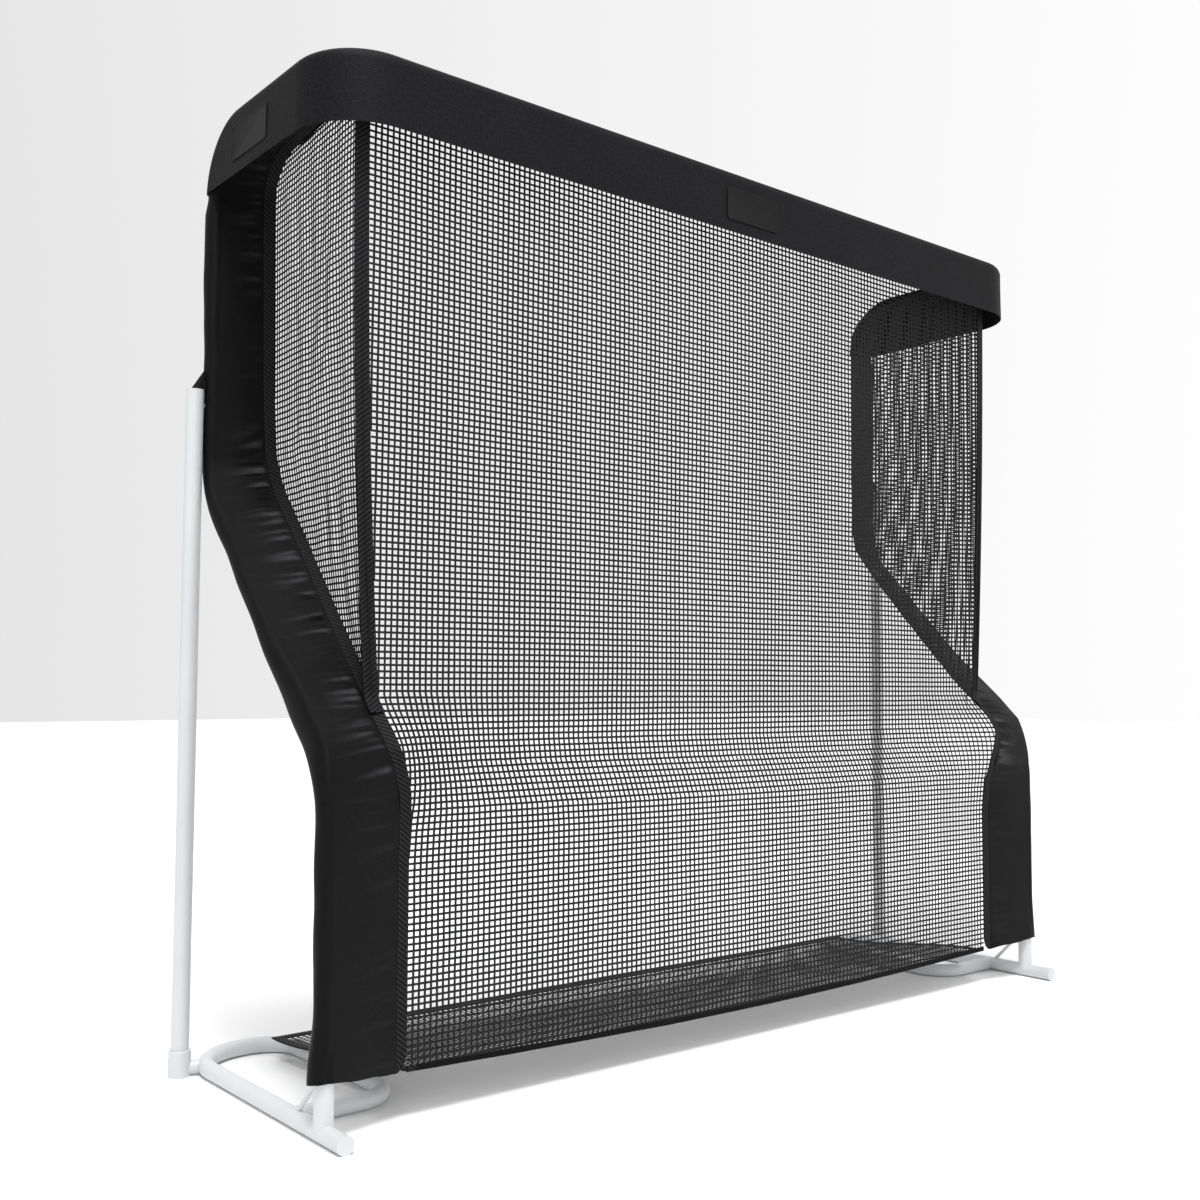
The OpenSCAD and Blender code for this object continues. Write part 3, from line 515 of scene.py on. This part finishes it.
def make_stations(steps):
    """The stations from the cover's foot to the arm's end, spaced by the steps."""
    found = []
    for i in range(steps * 4):
        found.append(Station(FOOT_Y, mix(COVER_LOW, LOW_BEND_Z, i / (steps * 4)), 0, 0, 0))
    for i in range(steps * 3):
        a = LEAN * i / (steps * 3)
        found.append(Station(FOOT_Y + LOW_KNEE_R * (1 - math.cos(a)),
                             LOW_BEND_Z + LOW_KNEE_R * math.sin(a), a,
                             KNEE_NARROW * i / (steps * 3), 0))
    y0 = FOOT_Y + LOW_KNEE_R * (1 - math.cos(LEAN))
    z0 = LOW_BEND_Z + LOW_KNEE_R * math.sin(LEAN)
    for i in range(steps * 5):
        s = i / (steps * 5)
        found.append(Station(y0 + s * LEAN_LEN * math.sin(LEAN),
                             z0 + s * LEAN_LEN * math.cos(LEAN), LEAN,
                             min(1, mix(KNEE_NARROW, 1, 2 * s)), 0))
    for i in range(steps * 2):
        a = LEAN * (1 - i / (steps * 2))
        found.append(Station(UPPER_Y - HIGH_KNEE_R * (1 - math.cos(a)),
                             HIGH_BEND_Z - HIGH_KNEE_R * math.sin(a), a, 1, 0))
    for i in range(steps * 5):
        found.append(Station(UPPER_Y, mix(HIGH_BEND_Z, TOP_BEND_Z, i / (steps * 5)), 0, 1, 0))
    for i in range(steps * 3):
        a = math.pi / 2 * i / (steps * 3)
        found.append(Station(UPPER_Y - TOP_R * (1 - math.cos(a)),
                             TOP_BEND_Z + TOP_R * math.sin(a), -a, 1, i / (steps * 3)))
    for i in range(steps + 1):
        found.append(Station(mix(UPPER_Y - TOP_R, ARM_END_Y, i / steps), ARM_Z, -math.pi / 2,
                             1, 1))
    return found


# The cover's free edge on the upright: the height of the tube's axis, how far the edge lies
# from the axis towards the net's middle, and how far in front of it.
EDGE_AT, EDGE_W, EDGE_LEAD = zip(
    (0.52, 0.194, -0.014), (0.612, 0.191, -0.004), (0.666, 0.183, 0.018),
    (0.713, 0.166, 0.043), (0.732, 0.157, 0.053), (0.780, 0.151, 0.051),
    (0.878, 0.155, 0.041), (1.022, 0.156, 0.042), (1.216, 0.157, 0.049),
    (1.317, 0.151, 0.057), (1.386, 0.144, 0.059), (1.450, 0.138, 0.052),
    (1.60, 0.133, 0.046), (2.00, 0.126, 0.043))
# The same on the bend above it, by the share of the way to the arm, and on the arm.
BEND_AT, BEND_LEAD = (0, 0.5, 1), (EDGE_LEAD[-1], 0.036, 0.031)
ARM_W, ARM_AT, ARM_LEAD = 0.129, (back(0.36), back(0.55)), (0.012, 0.030)
# How far the cover stands in front of the tube where the lean begins, by the share to the
# narrow part.
BAG_AT, BAG = (0.15, 0.6, 0.75, 0.92), (0, 0.026, 0.021, 0)


def edge_w(s):
    return mix(lookup(s.z, EDGE_AT, EDGE_W), ARM_W, s.arm)


def edge_lead(s):
    if s.arm == 1:
        return lookup(s.y, ARM_AT, ARM_LEAD)
    if s.arm > 0:
        return lookup(s.arm, BEND_AT, BEND_LEAD)
    return lookup(s.z, EDGE_AT, EDGE_LEAD)


def from_edge(s, inset):
    """A section's point that far back from the free edge, along the cloth."""
    w, lead = edge_w(s), edge_lead(s)
    reach = math.hypot(w, lead)
    k = (reach - inset) / reach
    return w * k, lead * k


def on_section(s, u, v, side):
    """A point of a station's section, u towards the net's middle and v forwards."""
    return Vector((side * (HALF_SPAN - u), s.y - v * math.cos(s.lean),
                   s.z + v * math.sin(s.lean)))


STATIONS = make_stations(steps=12)
NET_CORNER = Station(CORNER_Y, ARM_Z, -math.pi / 2, 1, 1)
RUN = [0.0]
for before, after in zip(STATIONS, STATIONS[1:]):
    RUN.append(RUN[-1] + math.hypot(after.y - before.y, after.z - before.z))


def station_at(t, stations=STATIONS):
    at = t * (len(stations) - 1)
    i = min(int(at), len(stations) - 2)
    return Station(*(mix(a, b, at - i) for a, b in zip(stations[i], stations[i + 1])))


def run_at(t):
    """The distance along the tube's axis."""
    return lookup(t * (len(STATIONS) - 1), range(len(STATIONS)), RUN)


EDGE_BY_Z = []
for s in STATIONS:
    p = on_section(s, edge_w(s), edge_lead(s), 1)
    if not EDGE_BY_Z or p.z > EDGE_BY_Z[-1][0]:
        EDGE_BY_Z.append((p.z, p.x, p.y))
EDGE_Z, EDGE_X, EDGE_Y = (np.array(column) for column in zip(*EDGE_BY_Z))


def edge_x(z):
    return lookup(z, EDGE_Z, EDGE_X)


def edge_y(z):
    return lookup(z, EDGE_Z, EDGE_Y)


# ---- Covers ----

# Shares of a cover's width that are its front face, or its back, and the turn between them.
FACE_SHARE, TURN_SHARE = 0.4, 0.2
# How far the cloth stands out: its folds, their fine creases, the swell of a face, and the
# bags at the knees.
FOLD_H, CREASE_H, SWELL_H, FULL_H, KNEE_H = 0.0050, 0.0020, 0.0022, 0.0016, 0.0046
# How far it stands out round the tube: everywhere, above the flap and at the low knee.
TURN_H, ABOVE_FLAP_H, LOW_KNEE_H = 0.003, 0.004, 0.003


def on_face(u):
    """The share of the way from the webbing to the tube, and 1 in front or -1 behind."""
    return (u / FACE_SHARE, 1) if u < FACE_SHARE else ((1 - u) / FACE_SHARE, -1)


def ripple(along, t, side, face, rates, seed):
    """Noise over the cloth, which differs between sides and faces."""
    return waver(along * rates[0], t * rates[1], side * seed + face)


def slant_at(run, t, face):
    """The run along a fold, which slants as it leaves the webbing."""
    return run + t * (0.05 - 0.03 * face)


def gather(t, z):
    """How strongly the cloth is gathered: most next to the webbing and at the bends."""
    near = hump(t, 0, 0.45) * ease(t * 8)
    bends = 0.90 * ramp(z, 0.56, 0.16) * (1 - ramp(z, 1.42, 0.10))
    return near * (0.10 + bends + 0.30 * ramp(z, 1.80, 0.1))


def fold_at(run, t, side, face):
    """The folds' noise, highest along their crests."""
    return ripple(slant_at(run, t, face), t, side, face, (78.0, 0.9), 7.3)


def wrinkle(run, t, z, side, face):
    """How far the cover's cloth stands out."""
    slant = slant_at(run, t, face)
    fine = ripple(slant, t, side, face, (61.0, 3.1), 2.1)
    swell = ripple(run, t, side, face, (7.0, 1.1), 3.7)
    bag = ripple(slant, t, side, face, (17.0, 0.9), 5.9)
    knees = hump(z, 0.76, 0.15) + hump(z, 1.30, 0.10)
    fold = 0.30 - (0.5 - fold_at(run, t, side, face)) ** 2
    height = gather(t, z) * (FOLD_H * fold + CREASE_H * fine)
    height += math.sin(math.pi * t) * (SWELL_H * swell + FULL_H)
    return height + (1 - ramp(t, 0.6, 0.4)) * knees * KNEE_H * bag


def cover_painted_highlight(side):
    """Where a highlight is painted on the cover's folds, along the crests that catch the light.
    """
    def painted_fold_highlight(u, v):
        if FACE_SHARE <= u <= 1 - FACE_SHARE:
            return 0.0
        t, face = on_face(u)
        line = max(0, fold_at(run_at(v), t, side, face) - 0.12) / 0.30
        return min(1, line) ** 1.5 * gather(t, station_at(v).z)
    return painted_fold_highlight


def cover_place(side):
    """The cover's cloth, from the webbing over the front, round the tube and back."""
    r = (COVER_IN + COVER_OUT) / 2

    def place(u, v):
        s, run = station_at(v), run_at(v)
        w, lead = from_edge(s, TRIM_W + SEAT)
        way = math.atan2(lead, w)
        open_a = math.acos(r / math.hypot(w, lead))
        bag = knee_bag(s)
        under_band = 1 - ramp(s.z, BAND_LOW - 0.06, 0.05)
        hem = 1 - ramp(s.z, COVER_LOW, FLARE_H)
        flare = FLARE * hem
        if u < FACE_SHARE or u > 1 - FACE_SHARE:
            t, face = on_face(u)
            a = way + face * open_a
            out = Vector((-math.sin(way), math.cos(way))) * face
            flat = (Vector((w, lead)) + out * 0.0012).lerp(
                Vector((r * math.cos(a), r * math.sin(a) + bag * max(0, math.sin(a)))), t)
            flat += out * (wrinkle(run, t, s.z, side, face) * under_band
                           + 0.5 * flare * t * hem)
            flat.x -= flare * ease(t)
            p = on_section(s, flat.x, flat.y, side)
        else:
            t, turned = 1, (u - FACE_SHARE) / TURN_SHARE
            a = way + open_a + turned * (2 * math.pi - 2 * open_a)
            bulge = TURN_H * under_band * (waver(run * 9, a, side) + 0.5)
            bulge += ABOVE_FLAP_H * ramp(s.z, POST_TOP + 0.07, 0.1) * under_band
            bulge += LOW_KNEE_H * hump(s.z, 0.90, 0.12)
            bulge *= math.sin(math.pi * turned) ** 0.5
            p = on_section(s, (r + bulge) * math.cos(a) - flare,
                           (r + bulge) * math.sin(a) + bag * max(0, math.sin(a)), side)
        if p.z < COVER_LOW + LIFT_H:
            lift = (HEM_TUBE_Z - COVER_LOW) * ease(t * 1.2) + 0.003 * math.sin(u * 19)
            p.z += lift * (1 - (p.z - COVER_LOW) / LIFT_H)
        return p
    return place


def knee_bag(s):
    return lookup(s.narrow, BAG_AT, BAG)


def trim_place(side):
    """The webbing along the cover's free edge, round its bottom corner and on to the net."""
    rows = STATIONS + [NET_CORNER]

    def place(u, v):
        s = station_at(v, rows)
        p = on_section(s, *from_edge(s, TRIM_W * (1 - u)), side)
        if s.z < COVER_LOW + CORNER_R:
            d = 1 - (s.z - COVER_LOW) / CORNER_R
            p.x += side * CORNER_R * (1 - math.sqrt(1 - d * d * 0.98)) * u * 0.55
        return p
    return place


# ---- Places of the nets ----

def net_y(z):
    if z > CREASE_Z:
        return mix(NET_MID_Y, NET_TOP_Y, (z - CREASE_Z) / (HEADER_LOW - CREASE_Z))
    return mix(SKIRT_Y, NET_MID_Y, ramp(z, SKIRT_Z, CREASE_Z - SKIRT_Z))


def strip_x(z):
    """A corner strip's inner edge, which the nets pull into a bow."""
    h = (z - STRIP_END_Z) / (HEADER_LOW - STRIP_END_Z)
    return mix(STRIP_LOW_X, STRIP_TOP_X, 1 - (1 - h) ** 2)


def net_half(z):
    return edge_x(z) if z < STRIP_END_Z else strip_x(z)


def hem_height(x):
    return HEM_Z - HEM_SAG * math.cos(math.pi * x / 2 / edge_x(HEM_Z))


HEIGHTS = np.linspace(HEM_Z, HEADER_LOW, 400)
HALVES = np.maximum.accumulate([net_half(z) for z in HEIGHTS])


def stray(x, z, seed):
    """How far a net's cords stray from their own line."""
    return 0.0009 * waver(x * 11, z * 13, seed)


def main_point(x, z):
    """Below the corner strips the covers pull the net's edges forward."""
    depth = 0.003 * waver(x * 4, z * 3, 1.7)
    near = max(0, 1 - (net_half(max(z, HEM_Z)) - abs(x)) / PULL) ** 2
    y = mix(net_y(z), min(net_y(z), edge_y(max(z, HEM_Z))), near)
    return Vector((x + stray(x, z, 3.1), y + depth, z + stray(x, z, 8.3)))


def main_warp(i, t):
    x = mix(-STRIP_TOP_X, STRIP_TOP_X, i)
    low = hem_height(x) if abs(x) < HALVES[0] else lookup(abs(x), HALVES, HEIGHTS)
    return main_point(x, mix(min(low, HEADER_LOW - 0.02), HEADER_LOW, t))


def main_weft(i, t):
    z = mix(HEM_Z - HEM_SAG, HEADER_LOW, i)
    x = net_half(max(z, HEM_Z)) * (2 * t - 1)
    return main_point(x, max(z, hem_height(x)))


SIDE_Z = np.linspace(STRIP_END_Z + 0.010, ARM_Z - 0.015, 300)
SIDE_Y = np.array([edge_y(z) for z in SIDE_Z])
TURN = int(SIDE_Y.argmax())
# How much of the left side net's waves the right one has.
RIGHT_WAVES = 0.15


def side_start(z):
    return net_y(z) + 0.003 + STRIP_W / 2 * math.sin(STRIP_TURN)


def side_point(side, y, z):
    """A point between the corner strip and the webbing. Between them the net hangs in waves."""
    y0, y1 = side_start(z), edge_y(z)
    t = unit((y - y0) / (y1 - y0))
    h = unit((z - SIDE_Z[0]) / (SIDE_Z[-1] - SIDE_Z[0]))
    loose = math.sin(math.pi * t) ** 0.6 * math.sin(math.pi * h) ** 0.5
    wave = 0.003 * math.sin(y * 78 + 1.6 * math.sin(z * 5 + side)) * (0.6 + 0.4 * math.sin(z * 3))
    wave += 0.004 * waver(y * 9, z * 3.5, side * 2.3)
    wave += 0.0012 * waver(y * 31, z * 19, side * 5.1)
    wave *= RIGHT_WAVES if side > 0 else 1
    pull = 0.0045 * loose * waver(y * 37, z * 10, side * 3.3)
    return Vector((side * (mix(strip_x(z) + STRIP_W / 2, edge_x(z), t) + loose * wave), y + pull,
                   z + 0.004 * loose * waver(y * 12, z * 9, 4.4)))


def side_warp(side):
    low_y, high_y = side_start(SIDE_Z[-1]), float(SIDE_Y.max()) - 0.004

    def place(i, t):
        y = mix(low_y, high_y, i)
        low = lookup(y, SIDE_Y[:TURN], SIDE_Z[:TURN])
        high = lookup(-y, -SIDE_Y[TURN:], SIDE_Z[TURN:])
        return side_point(side, y, mix(low, high, t))
    return place


def side_weft(side):
    def place(i, t):
        z = mix(SIDE_Z[0], SIDE_Z[-1], i)
        return side_point(side, mix(side_start(z), edge_y(z), t), z)
    return place


def floor_half(t):
    return mix(FLOOR_FRONT_X, FLOOR_NET_X, t) - BINDING_W


def floor_point(u, v):
    x = floor_half(v) * (2 * u - 1)
    y = mix(FLOOR_FRONT_Y, FLOOR_NET_Y - BINDING_W, v)
    sag = 0.004 * math.sin(math.pi * v) * waver(x * 4, y * 5, 5.0)
    return Vector((x + stray(x, y, 6.6), y + stray(y, x, 2.2),
                   mix(hem_height(x), FLOOR_NET_Z, ease(v)) + sag))


# ---- Band ----

def band_path(t):
    """The tube's axis under the band, with its outward and upward directions."""
    start = math.radians(4)
    bend = (math.pi / 2 - start) * TOP_R
    arm = UPPER_Y - TOP_R - ARM_END_Y
    corner = math.pi / 2 * PLAN_R
    front = HALF_SPAN - PLAN_R
    side = -1 if t < 0.5 else 1
    d = (1 - abs(2 * t - 1)) * (bend + arm + corner + front)
    if d < bend:
        a = start + d / TOP_R
        return (Vector((side * HALF_SPAN, UPPER_Y - TOP_R + TOP_R * math.cos(a),
                        TOP_BEND_Z + TOP_R * math.sin(a))),
                Vector((side, 0, 0)), Vector((0, math.cos(a), math.sin(a))))
    d -= bend
    if d < arm:
        return (Vector((side * HALF_SPAN, UPPER_Y - TOP_R - d, ARM_Z)), Vector((side, 0, 0)),
                Vector((0, 0, 1)))
    d -= arm
    if d < corner:
        a = d / PLAN_R
        out = Vector((side * math.cos(a), -math.sin(a), 0))
        return (Vector((side * (HALF_SPAN - PLAN_R), ARM_END_Y, ARM_Z)) + out * PLAN_R, out,
                Vector((0, 0, 1)))
    d -= corner
    return (Vector((side * (HALF_SPAN - PLAN_R - d), BAR_Y, ARM_Z)), Vector((0, -1, 0)),
            Vector((0, 0, 1)))


def band_place(u, v):
    """The band's cloth: its wall, the turn over the tube and the lip inside."""
    axis, out, up = band_path(u)
    r = BAND_R - 0.001
    wall, over = 0.55, 0.85
    if v < wall:
        high = axis + out * r
        low = Vector((high.x, high.y, min(high.z, BAND_LOW)))
        sway = waver(high.x * 3, high.y * 3, v * 1.5)
        return low.lerp(high, v / wall) + out * (0.0018 * sway * (1 - v / wall))
    if v < over:
        a = math.pi / 2 * (v - wall) / (over - wall)
        return axis + out * (r * math.cos(a)) + up * (r * math.sin(a))
    return axis + up * r - out * (BAND_LIP * (v - over) / (1 - over))


# ---- Small cloth pieces ----

def flap_place(side):
    """A pocket of cloth over the post's head, from the cover out to the post."""
    def place(u, v):
        inner = HALF_SPAN + COVER_OUT + 0.001
        outer = mix(POST_X + FLAP_REACH, inner + 0.003, v)
        a = math.pi * u
        return Vector((side * (inner + (outer - inner) * math.sin(a) ** 0.35),
                       POST_Y + FLAP_HALF * math.cos(a) * (1 - 0.55 * v),
                       POST_TOP + SEAT + FLAP_H * v))
    return place


def gusset_place(side):
    """The cloth that closes the corner between the webbing and the net's top."""
    def place(u, v):
        y = mix(CORNER_Y, ARM_END_Y - SEAT, v)
        dip = GUSSET_DIP * math.sin(math.pi * u) * math.sin(math.pi * v)
        return Vector((side * mix(HALF_SPAN - ARM_W + TRIM_W, GUSSET_X, u), y,
                       ARM_Z - GUSSET_DROP - dip))
    return place


def strip_place(side):
    """A corner strip, whose lower end is sewn on to the cover's webbing."""
    def place(u, v):
        z = mix(STRIP_END_Z - STRIP_LAP, HEADER_LOW - SEAT, v)
        y = min(net_y(z), edge_y(z) - STRIP_OFF)
        return Vector((side * (net_half(z) + STRIP_W * u * math.cos(STRIP_TURN)),
                       y + STRIP_W * u * math.sin(STRIP_TURN), z))
    return place


def header_place(u, v):
    return Vector(((STRIP_TOP_X + STRIP_W) * (2 * u - 1), NET_TOP_Y, HEADER_LOW + HEADER_W * v))


def hem_place(u, v):
    x = edge_x(HEM_Z) * (2 * u - 1) * 0.998
    return Vector((x, SKIRT_Y, hem_height(x) + HEM_W * v - 0.002))


def side_binding_place(side):
    def place(u, v):
        x = floor_half(v) + BINDING_W * u + 0.0015
        return Vector((side * x, mix(FLOOR_FRONT_Y, FLOOR_NET_Y - BINDING_W, v),
                       mix(HEM_Z, FLOOR_NET_Z, ease(v))))
    return place


def back_binding_place(u, v):
    x = (floor_half(1) + BINDING_W) * (2 * u - 1)
    return Vector((x, FLOOR_NET_Y - BINDING_W * (1 - v) + 0.002, FLOOR_NET_Z))


def add_patch(name, low, high, thin):
    """A blank moulded patch with a raised rim. thin is the axis of its thickness."""
    size = high - low
    bpy.ops.object.select_all(action='DESELECT')
    bpy.ops.mesh.primitive_cube_add(size=1, location=(low + high) / 2, scale=size)
    bpy.ops.object.transform_apply(location=True, rotation=True, scale=True)
    piece = bpy.context.object
    piece.name = piece.data.name = name

    def through(edge):
        a, b = (piece.data.vertices[i].co[thin] for i in edge.vertices)
        return abs(a - b) > size[thin] / 2

    pick(piece, 'EDGE', through)
    bpy.ops.mesh.bevel(offset=0.008, segments=6)
    bpy.ops.object.mode_set(mode='OBJECT')
    pick(piece, 'FACE', lambda face: face.normal[thin] < -0.9)
    bpy.ops.mesh.inset(thickness=0.0040)
    bpy.ops.mesh.inset(thickness=0.0008, depth=-0.0009)
    bpy.ops.object.mode_set(mode='OBJECT')
    apply(piece, 'BEVEL', width=0.0003, segments=2, limit_method='ANGLE', angle_limit=0.6)
    alone(piece)
    bpy.ops.object.shade_smooth_by_angle(angle=0.6)
    piece.data.materials.append(PATCH)
    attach(piece, "frame")
    return piece


def pick(piece, kind, wanted):
    """Enters edit mode with only the wanted edges or faces selected."""
    alone(piece)
    bpy.ops.object.mode_set(mode='EDIT')
    bpy.ops.mesh.select_mode(type=kind)
    bpy.ops.mesh.select_all(action='DESELECT')
    bpy.ops.object.mode_set(mode='OBJECT')
    for part in piece.data.edges if kind == 'EDGE' else piece.data.polygons:
        part.select = wanted(part)
    bpy.ops.object.mode_set(mode='EDIT')


# ---- The scene ----

add_camera()
bpy.ops.object.select_all(action='DESELECT')
bpy.ops.mesh.primitive_plane_add(size=60)
floor = bpy.context.object
floor.name = "floor"
floor.data.materials.append(plain_floor())
floor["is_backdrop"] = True
add_light((-1.8, -2.4, 6.0), (-0.6, 0, 1.0), size=1.2, power=110)
add_light((0.5, 3.0, 6.0), (0.5, 0, 0.0), size=3.0, power=60)
add_sun((-1.5, -2.0, 6.0), spread=0.35, power=1.5)
bpy.context.scene.view_settings.view_transform = 'Standard'
bpy.context.scene.world = bpy.data.worlds.new("studio")
studio = Studio(bpy.context.scene.world)
studio.shader.inputs["Color"].default_value = (1, 1, 1, 1)

WHITE, ZINC, NET, PATCH = powder_coat(), zinc(), net_cord(), moulded()
COVER_CLOTH = woven("cover_cloth", (0.0015, 0.0015, 0.0018, 1), (0.008, 0.008, 0.009, 1),
                    pitch=0.0011, strength=0.35, rough=0.46)
BAND_CLOTH = woven("band_cloth", (0.0012, 0.0012, 0.0015, 1), (0.021, 0.021, 0.025, 1),
                   pitch=0.0058, strength=0.80, rough=0.60)
EDGE_TAPE = webbing("edge_webbing", TRIM_W)
CORNER_TAPE = webbing("corner_webbing", STRIP_W)
HEADER_TAPE = webbing("header_webbing", HEADER_W)
BINDING_TAPE = webbing("binding_webbing", BINDING_W)
FINISHES = {"white_tube": WHITE, "steel": ZINC, "net": NET, "patch": PATCH,
            "webbing": EDGE_TAPE, "cover_cloth": COVER_CLOTH}

for part in frame["record"]["subparts"]:
    piece = frame["nodes"][part["node"]]
    piece.data.materials.clear()
    piece.data.materials.append(FINISHES[part["material_slot"]])

for side, tag in ((-1, "left"), (1, "right")):
    lay_cloth("cover_" + tag, (71, 620), cover_place(side), CLOTH_THICK, COVER_CLOTH,
              ["upright_cover_" + tag],
              painted_fold_highlight=cover_painted_highlight(side))
    lay_cloth("edge_webbing_" + tag, (6, 260), trim_place(side), TAPE_THICK, EDGE_TAPE,
              ["cover_trim_" + tag], rounded=TAPE_ROUND)
    lay_cloth("corner_webbing_" + tag, (6, 60), strip_place(side), TAPE_THICK, CORNER_TAPE,
              ["corner_strip_" + tag], rounded=TAPE_ROUND)
    lay_cloth("gusset_" + tag, (16, 16), gusset_place(side), CLOTH_THICK, COVER_CLOTH,
              ["corner_gusset_" + tag])
    lay_cloth("post_flap_cloth_" + tag, (25, 24), flap_place(side), FLAP_THICK, COVER_CLOTH,
              ["post_flap_" + tag])
    netting("side_netting_" + tag, (35, 60, side_warp(side)), (94, 30, side_weft(side)), 0,
            ["side_net_" + tag])
    lay_cloth("side_binding_" + tag, (6, 24), side_binding_place(side), TAPE_THICK,
              BINDING_TAPE, (), rounded=TAPE_ROUND)

netting("main_netting", (151, 44, main_warp), (154, 40, main_weft), 1, ["main_net"])
netting("floor_netting", (138, 12, lambda i, t: floor_point(i, t)),
        (41, 40, lambda i, t: floor_point(t, i)), 2, ["floor_net"])
lay_cloth("header_webbing", (90, 6), header_place, TAPE_THICK, HEADER_TAPE,
          ["net_header"])
lay_cloth("back_binding", (90, 6), back_binding_place, BACK_THICK, BINDING_TAPE,
          ["floor_net_binding"])
lay_cloth("net_hem", (120, 4), hem_place, HEM_THICK, BINDING_TAPE, ())
lay_cloth("band", (300, 30), band_place, CLOTH_THICK, BAND_CLOTH, ["top_band"])

low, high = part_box("label_patches")
front_y = BAR_Y - BAND_R
end_x = -HALF_SPAN - BAND_R
front_patch = add_patch("front_patch", Vector((-PATCH_W / 2, front_y - PATCH_OUT, low.z)),
                        Vector((PATCH_W / 2, front_y - SEAT, high.z)), 1)
add_patch("end_patch", Vector((end_x - PATCH_OUT, PATCH_Y - PATCH_W / 2, low.z)),
          Vector((end_x - SEAT, PATCH_Y + PATCH_W / 2, high.z)), 0)
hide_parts("label_patches")

low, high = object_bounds()
